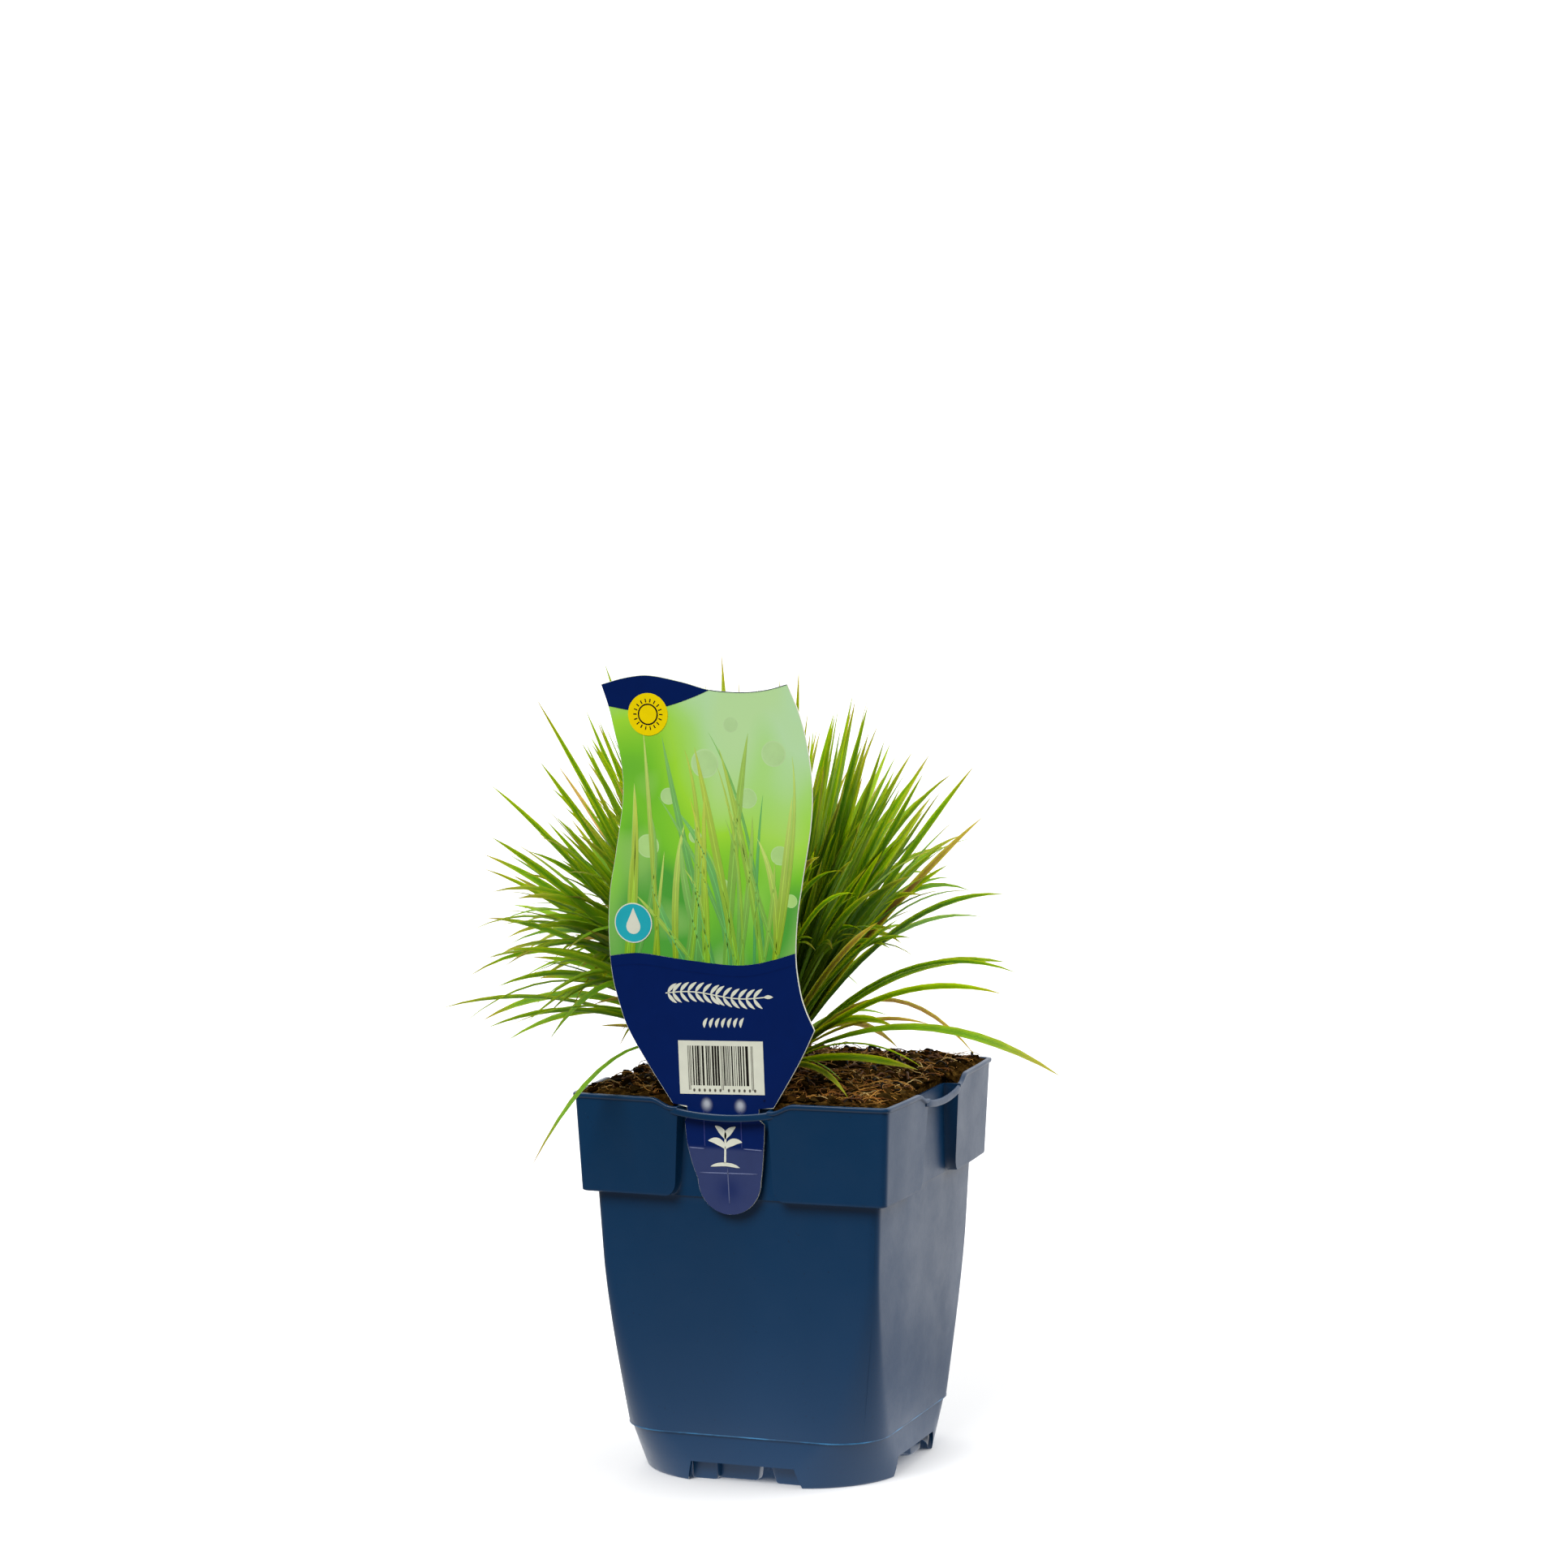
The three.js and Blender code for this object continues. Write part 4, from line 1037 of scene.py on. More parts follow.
def slab(grid: Array, depth: float, ink: Array | None = None) -> Surface:
    """A thin closed sheet: a grid of points, the same grid moved back along Y, and a border between them.

    Args:
        grid: rows and columns of points on the front.
        depth: how far back the rear face lies.
        ink: colours of the grid's points, if it has any.

    Returns:
        The closed sheet.
    """
    rows, columns = grid.shape[:2]
    back = grid + np.array([0.0, depth, 0.0])
    front = grid_quads(rows, columns)
    count = rows * columns
    index = np.arange(count).reshape(rows, columns)
    rim = np.concatenate([index[0, :-1], index[:-1, -1], index[-1, :0:-1], index[:0:-1, 0]])
    after = np.roll(rim, -1)
    border = np.stack([after, rim, rim + count, after + count], -1)
    points = np.vstack([grid.reshape(-1, 3), back.reshape(-1, 3)])
    colours = None if ink is None else np.vstack([ink.reshape(-1, 4)] * 2)
    return outward(Surface(points, np.vstack([front, front[:, ::-1] + count, border]), ink=colours))


@dataclass
class PlantLabel:
    """The flat plant label: white sheet plastic with printed faces and an embossed tongue."""

    face: float = 58.0
    thick: float = 0.7
    ink_step: float = 0.045
    navy: Triple = (0.0009, 0.0122, 0.098)
    worn_navy: Triple = (0.035, 0.050, 0.142)
    white: Triple = (0.75, 0.76, 0.63)
    yellow: Triple = (0.96, 0.73, 0.0)
    teal: Triple = (0.02, 0.42, 0.50)
    black: Triple = (0.012, 0.010, 0.008)
    lean: float = 1.8
    lean_about: Pair = (-3.0, 153.5)
    bottom: float = 100.6
    edge_gap: float = 0.16
    low_ink: float = 4.4
    high_ink: float = 4.9
    top_ink: float = 5.4
    picture_seed: int = 5
    picture_leaves: int = 34
    bar_seed: int = 23
    bar_module: float = 0.264
    tip_middle: Pair = (-0.4, 113.0)
    tip_size: Pair = (12.0, 12.4)
    tongue_left: tuple = ((-12.4, 113.0), (-14.3, 117.8), (-16.3, 125.4), (-17.2, 133.6))
    tongue_right: tuple = ((11.6, 113.0), (12.3, 118.6), (12.9, 127.0), (13.2, 133.6))
    neck_left: tuple = ((-16.1, 135.4), (-16.3, 139.35))
    neck_right: tuple = ((10.9, 135.4), (11.2, 139.35))
    body_left: tuple = ((-21.7, 139.6), (-30.8, 153.1), (-38.1, 165.1), (-41.5, 173.8), (-44.5, 185.4),
                        (-45.6, 200.0), (-45.0, 214.7), (-42.5, 229.0), (-39.5, 248.3), (-39.9, 261.4),
                        (-42.5, 273.0), (-44.6, 281.6), (-47.3, 289.4))
    taper_right: tuple = ((16.6, 139.6), (26.5, 156.4), (32.4, 168.3))
    body_right: tuple = ((32.4, 168.3), (29.0, 175.6), (27.0, 182.5), (25.6, 194.0), (26.4, 208.4),
                         (28.7, 222.9), (31.6, 240.2), (32.3, 254.5), (30.6, 268.8), (27.7, 280.1),
                         (23.3, 290.6))
    top: tuple = ((-47.3, 289.4), (-38.2, 291.9), (-28.9, 292.9), (-16.5, 290.8), (-5.5, 288.1),
                  (6.5, 287.5), (15.6, 288.5), (23.3, 290.6))
    low_wave: tuple = ((-50.0, 191.4), (-44.7, 192.1), (-33.4, 193.4), (-14.7, 191.5), (6.9, 190.6),
                       (26.3, 195.7), (34.0, 198.5))
    top_wave: tuple = ((-50.0, 282.4), (-44.6, 281.6), (-32.2, 280.1), (-19.7, 282.7), (-5.5, 288.3),
                       (8.0, 296.0), (34.0, 310.0))
    spots: tuple = ((-8, 262, 5.2), (8, 250, 3.6), (18, 266, 4.6), (-22, 250, 3.0), (-30, 232, 4.2),
                    (-12, 236, 2.4), (20, 230, 3.4), (2, 276, 2.8), (24, 214, 2.4), (-2, 218, 3.2))

    def edges(self, z: Array) -> tuple[Array, Array]:
        """Left and right edge at a height: half an ellipse at the tip, then smooth curves through points."""
        sides = []
        turn = np.linspace(0.0, math.pi / 2, 30)
        reach, deep = self.tip_size
        tip_x, tip_z = reach * np.sin(turn), self.tip_middle[1] - deep * np.cos(turn)
        groups = ((self.tongue_left, self.neck_left, self.body_left),
                  (self.tongue_right, self.neck_right, self.taper_right, self.body_right))
        for group, way in zip(groups, (-1.0, 1.0)):
            tip = np.stack([self.tip_middle[0] + way * tip_x, tip_z], -1)
            line = np.vstack([tip[:-1]] + [smooth_line(points, 12) for points in group])
            sides.append(np.interp(z, line[:, 1], line[:, 0]))
        return sides[0], sides[1]

    def curve(self, points: Sequence[Sequence[float]]) -> Callable[[Array], Array]:
        """A height as a function of x, along a smooth curve through points."""
        line = smooth_line(points, 12)
        return lambda x: np.interp(x, line[:, 0], line[:, 1])

    def region(self, low: Callable, high: Callable, levels: Array, columns: int, inset: float, lift: float
               ) -> Array:
        """Points between two curves of height over x and the label's side edges, a little in from them.

        Each row is a share of the way from the low curve to the high one. The side edges depend on the height
        and the height on x, so the two are worked out in turn until they agree.

        Args:
            low: lower height over x.
            high: upper height over x.
            levels: shares of the way up, one for each row.
            columns: points in a row.
            inset: distance in from the edges of the body; on the tongue it is a third of that.
            lift: distance in front of the label's middle plane.

        Returns:
            The grid of points.
        """
        v = levels[:, None]
        u = np.linspace(0.0, 1.0, columns)[None, :]
        z = mix(float(low(0.0)) + inset, float(high(0.0)) - inset, v) + 0 * u
        for _ in range(8):
            left, right = self.edges(z)
            gap = inset * np.where(z < 139.5, 0.35, 1.0)
            narrow = np.minimum(gap, (right - left) / 2)
            x = mix(left + narrow, right - narrow, u)
            z = mix(low(x) + inset * 0.35, high(x) - inset, v)
        return np.stack([x, np.full(x.shape, -self.face - lift), z], -1)

    def rows(self, low: float, high: float) -> Array:
        """Shares of the way from one height to another, close together where the neck begins and ends."""
        tip = self.tip_middle[1] - self.tip_size[1] * np.cos(np.linspace(0.0, math.pi / 2, 28))
        z = np.unique(np.concatenate([tip, np.linspace(113.4, high, 150), [133.6, 135.4, 139.35, 139.6]]))
        z = z[(z >= low) & (z <= high)]
        return (z - low) / (high - low)

    def layer(self, number: float) -> float:
        """Distance of an ink layer's front from the label's middle plane."""
        return self.thick / 2 + number * self.ink_step

    def leaned(self, x: Array, z: Array) -> tuple[Array, Array]:
        """Places of the print turned by its small lean about the middle of the label's lower band."""
        c, s = math.cos(math.radians(self.lean)), math.sin(math.radians(self.lean))
        about_x, about_z = self.lean_about
        from_x, from_z = x - about_x, z - about_z
        return about_x + c * from_x - s * from_z, about_z + s * from_x + c * from_z

    def on_face(self, x: Array, z: Array, level: float) -> Array:
        """Points on the front of an ink layer, from their x and z."""
        return np.stack([x, np.full(np.shape(x), -self.face - self.layer(level)), z], -1)

    def inked(self, grid: Array, colour: Colour) -> Surface:
        """A sheet of ink in one colour."""
        ink = np.broadcast_to(np.array([*colour, 1.0]), (*grid.shape[:2], 4))
        return slab(grid, self.ink_step * 1.5, ink)

    def disc(self, x: float, z: float, radius: float, colour: Colour, level: float,
             squash: float = 1.0) -> Surface:
        """A round or oval spot of ink."""
        angle = around(48)
        front = self.on_face(x + radius * np.cos(angle), z + squash * radius * np.sin(angle), level)
        bar = closed_bar(np.array([front, front + np.array([0.0, self.ink_step * 1.5, 0.0])]))
        bar.ink = np.broadcast_to(np.array([*colour, 1.0]), (len(bar.points), 4))
        return bar

    def stroke(self, path: Array, width: Number, colours: Colour, level: float) -> Surface:
        """A flat stroke along a path in x and z, with one width and colour or one for each point."""
        heading = np.gradient(path, axis=0)
        heading /= np.linalg.norm(heading, axis=1, keepdims=True)
        wide = np.broadcast_to(width, len(path))[:, None]
        aside = np.stack([-heading[:, 1], heading[:, 0]], -1) * wide / 2
        flat = path[:, None, :] + np.array([1.0, 0.0, -1.0])[None, :, None] * aside[:, None, :]
        tone = np.broadcast_to(colours, (len(path), 3))
        grid = self.on_face(flat[..., 0], flat[..., 1], level)
        return slab(grid, self.ink_step * 1.5, opaque(np.repeat(tone[:, None, :], 3, axis=1)))

    def box(self, x0: float, x1: float, z0: float, z1: float, colour: Colour, level: float) -> Surface:
        """A rectangle of ink."""
        return self.inked(self.on_face(*self.leaned(*np.meshgrid([x0, x1], [z0, z1])), level), colour)

    def leaf_picture(self) -> list[Surface]:
        """The generic picture: broad arching leaves that rise from the low wave, and soft round spots."""
        rng = np.random.default_rng(self.picture_seed)
        shapes = []
        wave = self.curve(self.low_wave)
        t = np.linspace(0.0, 1.0, 26)[:, None]
        for x, z, radius in self.spots:
            green = tint((0.36, 0.68, 0.08), (0.48, 0.73, 0.34), (z - 190.0) / 100.0)
            for share, pale, level in ((1.0, 0.35, 1.2), (0.9, 0.18, 1.6)):
                tone = tint(green, (0.72, 0.92, 0.55), pale)
                shapes.append(self.disc(x, z, radius * share, tone, level))
        for i in range(self.picture_leaves):
            foot = mix(-40.0, 22.0, rng.random())
            start = np.array([foot, float(wave(foot)) - 1.5])
            lean = mix(-30.0, 12.0, rng.random())
            rise = mix(24.0, 88.0, rng.random() ** 0.8)
            tip = np.array([np.clip(start[0] + lean, -35.0, 25.0), start[1] + rise])
            middle = mix(start, tip, 0.5) + np.array([mix(-5.0, 9.0, rng.random()), rise * 0.16])
            path = drawn_curve(start, middle, tip, t)
            left, right = self.edges(path[:, 1])
            path[:, 0] = np.clip(path[:, 0], left + 2.4, right - 2.4)
            swell = (1.0 - t[:, 0] ** 1.7), (0.55 + t[:, 0] * 0.8)
            width = (mix(1.5, 4.6, rng.random()) * swell[0] * swell[1]) + 0.05
            depth = i / (self.picture_leaves - 1.0)
            base = tint((0.07, 0.32, 0.08), (0.20, 0.44, 0.02), depth)
            end = tint((0.22, 0.58, 0.16), (0.62, 0.70, 0.10), depth)
            if i % 4 == 3:
                base, end = np.array([0.22, 0.38, 0.01]), np.array([0.62, 0.80, 0.20])
            vein = mix(base * 1.5, end * 1.2, t[:-2])
            shapes.append(self.stroke(path, width, mix(base, end, t), 2.0 + 1.2 * depth))
            shapes.append(self.stroke(path[:-2], width[:-2] * 0.13, vein, 3.4))
        return shapes

    def bars(self) -> list[Surface]:
        """The striped panel: bars of one to four modules and gaps of one to three, drawn at random.

        Pairs of thin bars at both ends and in the middle reach lower, and small dots stand in a row below.
        """
        rng = np.random.default_rng(self.bar_seed)
        shapes = [self.box(-19.1, 13.2, 143.9, 163.1, self.white, self.low_ink)]
        places: list[tuple[float, float, bool]] = []
        at = 0.0
        for group in range(5):
            guard = group % 2 == 0
            for _ in range(2 if guard else 12):
                wide = 1 if guard else int(rng.choice([1, 2, 2, 3, 4]))
                places.append((at, at + wide, guard))
                at += wide + (1 if guard else int(rng.choice([1, 1, 2, 3])))
            at += 0.0 if guard else 1.0
        module = self.bar_module * (95.0 / at)
        for start, end, guard in places:
            x0, x1 = (-15.6 + module * k for k in (start, end))
            tone = np.array(self.black) + (0.12 * np.array([1.0, 0.97, 0.75]) if guard else 0.0)
            shapes.append(self.box(x0, x1, 145.4 if guard else 147.0, 161.3, tone, self.high_ink))
        for i in range(12):
            x, z = self.leaned(np.array(-13.6 + 2.0 * i + 1.2 * (i > 5)), np.array(145.3))
            shapes.append(self.disc(float(x), float(z), 0.42, (0.10, 0.09, 0.07), self.high_ink, squash=1.4))
        return shapes

    def marks(self) -> list[Surface]:
        """The plain marks, all of common kinds: sun disc, drop disc, striped panel, sprig and seedling."""
        sun = np.array([-29.4, 279.0])
        rounds = [(*sun, 7.6, self.yellow, self.low_ink), (*sun, 3.85, self.black, self.high_ink),
                  (*sun, 3.3, self.yellow, self.top_ink), (-36.0, 204.2, 7.2, self.white, self.low_ink),
                  (-36.0, 204.2, 6.8, self.teal, self.high_ink),
                  (-36.0, 202.9, 2.7, self.white, self.top_ink)]
        shapes = [self.disc(*values) for values in rounds]
        for turn in np.arange(18) * math.pi / 9:
            path = sun + np.array([[4.3], [4.9], [5.6]]) * np.array([math.cos(turn), math.sin(turn)])
            shapes.append(self.stroke(path, 0.42, self.black, self.high_ink))
        drop = np.array([[-36.0, 209.6], [-36.0, 207.0], [-36.0, 203.8]])
        shapes.append(self.stroke(drop, np.array([0.1, 2.3, 5.2]), self.white, 5.5))
        return shapes + self.bars() + self.sprig() + self.seedling()

    def leaflet(self, root: Array, middle: Pair, tip: Pair, wide: float, level: float) -> Surface:
        """A white pointed leaf on a curve drawn to a middle point; middle and tip count from the root."""
        t = np.linspace(0.0, 1.0, 12)[:, None]
        path = drawn_curve(root, root + np.array(middle), root + np.array(tip), t)
        width = wide * np.sin(math.pi * np.clip(t[:, 0] * 0.94 + 0.04, 0.0, 1.0)) ** 0.85 + 0.03
        return self.stroke(path, width, self.white, level)

    def sprig(self) -> list[Surface]:
        """A white sprig across the low band, and a short row of small leaves under it."""
        x = np.linspace(-24.0, 13.5, 40)
        stem = np.stack([x, 179.4 + 0.9 * np.sin((x + 24.0) * 0.167)], -1)
        shapes = [self.stroke(stem, 0.42, self.white, self.low_ink)]
        for i, root in enumerate(stem[np.linspace(1, 35, 13).astype(int)]):
            for side in (1.0, -1.0):
                level = self.low_ink + 0.02 * i
                shapes.append(self.leaflet(root, (0.9, side * 2.1), (3.3, side * 3.5), 1.25, level))
        shapes.append(self.leaflet(stem[-1], (1.5, 0.3), (3.4, 0.2), 1.3, self.low_ink))
        for i in range(7):
            root = np.array([-9.2 + 2.3 * i, 167.6 + 0.1 * i])
            shapes.append(self.leaflet(root, (-0.4, 1.9), (1.2, 3.5), 1.2, self.low_ink))
        return shapes

    def seedling(self) -> list[Surface]:
        """A white seedling on the tongue: a stem, two pairs of leaves and a mound."""
        foot = np.array([-1.9, 119.2])
        stem = foot + np.linspace(0.0, 1.0, 6)[:, None] * np.array([0.2, 8.6])
        shapes = [self.stroke(stem, 0.75, self.white, 3.9)]
        for side in (1.0, -1.0):
            shapes.append(self.leaflet(stem[3], (side * 2.2, 3.6), (side * 6.4, 2.6), 2.5, 4.0))
            shapes.append(self.leaflet(stem[5], (side * 0.6, 2.9), (side * 3.9, 4.6), 2.3, 4.05))
        t = np.linspace(-1.0, 1.0, 13)
        mound = np.stack([foot[0] + 5.6 * t, foot[1] - 0.5 - 1.0 * t**2], -1)
        shapes.append(self.stroke(mound, 1.3 * (1.02 - t**4), self.white, 3.9))
        return shapes

    def embossing(self) -> list[Surface]:
        """The tongue's pressed ribs, and two spots over the strap where bending has whitened the plastic."""
        faint, bright = np.array([0.035, 0.045, 0.19]), np.array([0.17, 0.20, 0.36])
        shapes = []
        lines = [((-9.9, 138.0), (-9.6, 125.0), faint), ((4.2, 138.0), (4.5, 125.0), faint),
                 ((-15.6, 124.2), (-9.8, 124.0), bright), ((5.2, 124.6), (12.3, 124.4), bright),
                 ((-11.6, 115.3), (10.4, 115.8), bright), ((-1.0, 117.4), (-0.4, 104.6), bright * 0.7)]
        fade = np.sqrt(np.clip(1.05 - np.linspace(-1.0, 1.0, 9)[:, None] ** 4, 0.0, 1.0))
        for start, end, tone in lines:
            path = mix(np.array(start), np.array(end), np.linspace(0.0, 1.0, 9)[:, None])
            shapes.append(self.stroke(path, 0.36, tint(self.worn_navy, tone, fade), 3.6))
        rings = ((1.0, 0.03), (0.88, 0.10), (0.75, 0.20), (0.6, 0.34), (0.45, 0.5), (0.3, 0.62))
        for x in (-8.7, 4.1):
            for share, pale in rings:
                colour = tint(self.navy, (0.72, 0.76, 0.80), pale)
                shapes.append(self.disc(x, 140.4 - 0.5 * share, 2.5 * share, colour, 3.0 + pale, squash=1.15))
        return shapes

    def band_ink(self, grid: Array) -> Array:
        """Ink of the low band: navy, and on the lower tongue worn to grey round a darker middle.

        At about 124 mm the grey takes over by a smooth step, and a bell curve about the tongue's middle
        keeps some of the navy there.
        """
        x, z = grid[..., 0], grid[..., 2]
        middle = 0.55 * np.exp(-(((x + 0.5) / 4.6) ** 2) - ((z - 109.5) / 4.5) ** 2)
        grey = smooth_step(125.2, 123.4, z) * (1.0 - middle)
        return opaque(tint(self.navy, self.worn_navy, grey[..., None]))

    def show(self, surface: Surface, name: str, finish: Inked | PlainPlastic | PrintedField) -> None:
        """Makes one of the label's pieces."""
        surface.piece(name, finish.material(), "label_plastic", "plant_label", crease=30.0)

    def build(self) -> None:
        """Builds and dresses the label: sheet, picture field, front print and back print."""
        top, low_wave, top_wave = (self.curve(points) for points in (self.top, self.low_wave, self.top_wave))
        bottom = lambda x: self.bottom + 0.0 * x
        below_wave = lambda x: low_wave(x) - 4.0
        lower_top = lambda x: np.minimum(top_wave(x), top(x) - 0.02)
        gap, rows = self.edge_gap, self.rows(self.bottom, 288.0)
        sheet = self.region(bottom, top, rows, 40, 0.0, self.thick / 2)
        self.show(slab(sheet, self.thick), "label_sheet", PlainPlastic("label_white", self.white, 0.38))
        picture = self.region(low_wave, top, np.linspace(0.0, 1.0, 60), 60, gap, self.layer(1.0))
        self.show(slab(picture, self.ink_step), "label_picture_ground", PrintedField())
        low_band = self.region(bottom, low_wave, self.rows(self.bottom, 192.0), 40, gap, self.layer(1.3))
        navy_band = slab(low_band, self.ink_step * 1.5, self.band_ink(low_band))
        high_band = self.region(lower_top, top, np.linspace(0.0, 1.0, 8), 90, gap, self.layer(3.9))
        cover = self.region(below_wave, low_wave, np.linspace(0.0, 1.0, 6), 60, 0.0, self.layer(3.9))
        left, right = self.edges(cover[..., 2])
        cover[..., 0] = np.clip(cover[..., 0], left + gap, right - gap)
        shapes = [*self.leaf_picture(), navy_band, self.inked(high_band, self.navy),
                  self.inked(cover, self.navy), *self.marks(), *self.embossing()]
        self.show(Surface.joined(shapes), "label_print", Inked("label_ink", 0.3, 160.0, 0.00002, 0.06, 0.2))
        back = self.region(bottom, top, rows, 40, gap, -self.thick / 2)
        self.show(slab(back, self.ink_step), "label_back_print",
                  PlainPlastic("label_back_navy", self.navy, 0.4))


@dataclass
class Leaf:
    """Arrays that describe the leaves of one tuft, a row for each leaf."""

    root: Array
    tip: Array
    arch: Array
    bow: Array
    width: Array
    twist: Array
    tone: Array
    dry: Array


@dataclass(frozen=True)
class Habit:
    """How a set of ring leaves grows.

    It has their count, least and greatest size, swing aside, least and greatest arch, bow, twist, the arch
    that the flattest leaves have more, and the lean of the flattest.
    """

    count: int
    least: float
    most: float
    swing: float
    arch: Pair
    bow: float
    twist: float
    lift: float
    flattest: float


class Tone(Enum):
    """Colours along a leaf; SUNNY, MIDDLE and SHADY are painted lit, half-lit and shaded tones of one green.
    """

    FOOT = (0.17, 0.20, 0.035)
    SUNNY = (0.182, 0.325, 0.0020)
    MIDDLE = (0.113, 0.238, 0.0015)
    SHADY = (0.062, 0.156, 0.0015)
    DRY = (0.36, 0.18, 0.045)
    SCORCHED = (0.33, 0.11, 0.015)


@dataclass
class Grass:
    """The tussock: a centre tuft and a ring of tufts, each a bunch of leaves from one sheathed base.

    A row of long_leaves has the leaf's angle from the picture's right, reach, height, arch and width. A row
    of outer_tips has the x, y and z of the tip, arch, width and twist. A row of strays has the x, y and z of
    the tip, arch, bow, width, tone and dryness.
    """

    crown: Pair = (-14.0, 0.0)
    crown_radius: float = 14.0
    tufts: int = 12
    main_leaves: Habit = Habit(19, 0.6, 0.98, 13.0, (2.0, 16.0), -2.5, 88.0, 7.0, 80.0)
    fine_leaves: Habit = Habit(14, 0.5, 1.0, 19.0, (3.0, 18.0), -5.0, 105.0, 18.0, 76.0)
    cross_leaves: Habit = Habit(9, 0.45, 0.95, 42.0, (4.0, 20.0), 9.0, 110.0, 14.0, 66.0)
    left_leaves: Habit = Habit(46, 0.66, 1.02, 32.0, (2.0, 16.0), 5.0, 110.0, 12.0, 84.0)
    left_side: Pair = (110.0, 260.0)
    right_steeper: float = 22.0
    steeper_middle: float = 350.0
    centre_leaves: int = 26
    more_centre_leaves: int = 40
    base_radius: float = 2.6
    base_top: float = 1.7
    centre_radius: float = 5.0
    centre_top: float = 3.4
    base_tall: float = 13.0
    base_deep: float = 7.0
    rise: float = 150.0
    reach: float = 106.0
    ground: float = 143.0
    lean_least: float = 11.0
    swing: float = 13.0
    golden_turn: float = 2.4
    centre_spread: float = 19.0
    view_turn: float = 20.4
    spread_x: float = 118.0
    spread_y: float = 100.0
    keep_left: float = -52.0
    keep_right: float = 38.0
    keep_y: float = -50.0
    thick: float = 0.26
    half_share: float = 0.60
    stations: int = 14
    box_low: Triple = (-117.95, -99.95, 0.0)
    box_high: Triple = (117.95, 99.95, 295.9)
    long_leaves: tuple = (
        (205, 57, 153, 4, 2.2), (160, 56, 143, 2, 1.8), (212, 88, 142, 4, 1.8), (150, 70, 131, 3, 2),
        (192, 55, 131, 3, 2), (168, 69, 119, 3, 2.2), (196, 78, 117, 6, 2.4), (140, 95, 108, 4, 2),
        (183, 94, 107, 8, 2.4), (217, 106, 112, 8, 2), (173, 75, 92, 4, 2.2), (200, 98, 91, 8, 2.6),
        (165, 104, 78, 10, 2.4), (187, 97, 77, 10, 2), (223, 130, 79, 16, 2), (152, 115, 56, 12, 2.2),
        (178, 97, 57, 12, 2), (209, 98, 52, 12, 2.4), (157, 87, 30, 10, 2.2), (171, 101, 17, 16, 2.4),
        (193, 98, 20, 12, 2), (232, 108, 27, 8, 1.6), (100, 57, 150, 2, 2.4), (62, 26, 144, 1, 1.6),
        (330, 22, 149, 2, 2), (40, 23, 134, 2, 2), (315, 45, 134, 3, 2.2), (25, 40, 120, 3, 2),
        (340, 47, 121, 4, 2.4), (50, 84, 115, 3, 2.2), (10, 55, 110, 4, 2.2), (345, 85, 114, 5, 2.2),
        (30, 76, 92, 4, 2.4), (0, 86, 93, 6, 2.2), (20, 88, 62, 22, 2.2), (352, 94, 66, 16, 2.4),
        (38, 113, 47, 16, 2.2), (5, 95, 38, 12, 2.4), (355, 98, 36, 16, 2), (325, 108, 36, 12, 2.2),
        (43, 72, 12, 8, 1.4), (336, 68, 5, 8, 1.0), (300, 66, 5, 5, 0.9), (75, 105, 96, 6, 2.2),
        (110, 118, 84, 10, 2.2), (128, 112, 66, 12, 2.4), (88, 112, 52, 14, 2.4), (66, 118, 40, 14, 2.2),
    )
    outer_tips: tuple = ((-118.0, -44.0, 168.0, 12.0, 2.4, 50.0), (118.0, -42.0, 153.5, 16.0, 3.0, 50.0),
                         (-59.0, -100.0, 122.0, 24.0, 2.6, 5.0), (23.0, 100.0, 252.0, 6.0, 2.2, 50.0))
    strays: tuple = (
        (45.8, -10.0, 163.0, 8.0, 0.0, 2.2, 0.98, 0.0), (58.8, -10.0, 164.7, 7.0, 0.0, 1.3, 0.5, 1.0),
        (70.0, 10.0, 150.5, 22.0, 0.0, 1.4, 0.5, 1.0), (49.1, 5.6, 145.2, 4.0, -3.0, 2.3, 0.9, 0.0),
        (43.6, -55.0, 144.2, 5.0, 2.0, 1.8, 0.95, 0.4), (-66.0, -20.0, 160.0, 4.0, 0.0, 1.4, 0.5, 1.0),
        (36.0, 22.0, 150.0, 12.0, -4.0, 2.0, 0.4, 0.9),
    )

    def tuft_angle(self, tuft: int) -> float:
        """Middle line of a tuft's sector, in degrees about the crown."""
        return tuft * 360.0 / self.tufts

    def tuft_place(self, tuft: int) -> Pair:
        """Middle of a tuft's base."""
        angle = math.radians(self.tuft_angle(tuft))
        x, y = self.crown
        return x + self.crown_radius * math.cos(angle), y + self.crown_radius * math.sin(angle)

    def tips(self, tuft: int, angle: Array, reach: Array, height: Array, swing: float) -> Array:
        """Tips from angle, reach and height, in the tuft's sector, behind the label and in the spread."""
        crown_x, crown_y = self.crown
        off = (angle - self.tuft_angle(tuft) + 180.0) % 360.0 - 180.0
        held = np.radians(self.tuft_angle(tuft) + np.clip(off, -swing, swing))
        x, y = crown_x + reach * np.cos(held), crown_y + reach * np.sin(held)
        crossing = crown_x + (x - crown_x) * self.keep_y / np.where(y < self.keep_y, y, self.keep_y)
        blocked = (y < self.keep_y) & (crossing > self.keep_left) & (crossing < self.keep_right)
        x, y = np.where(blocked, crossing, x), np.where(blocked, self.keep_y, y)
        x = np.clip(x, 2.0 - self.spread_x, self.spread_x - 2.0)
        y = np.clip(y, 2.0 - self.spread_y, self.spread_y - 2.0)
        return np.stack([x, y, self.ground + height], -1)

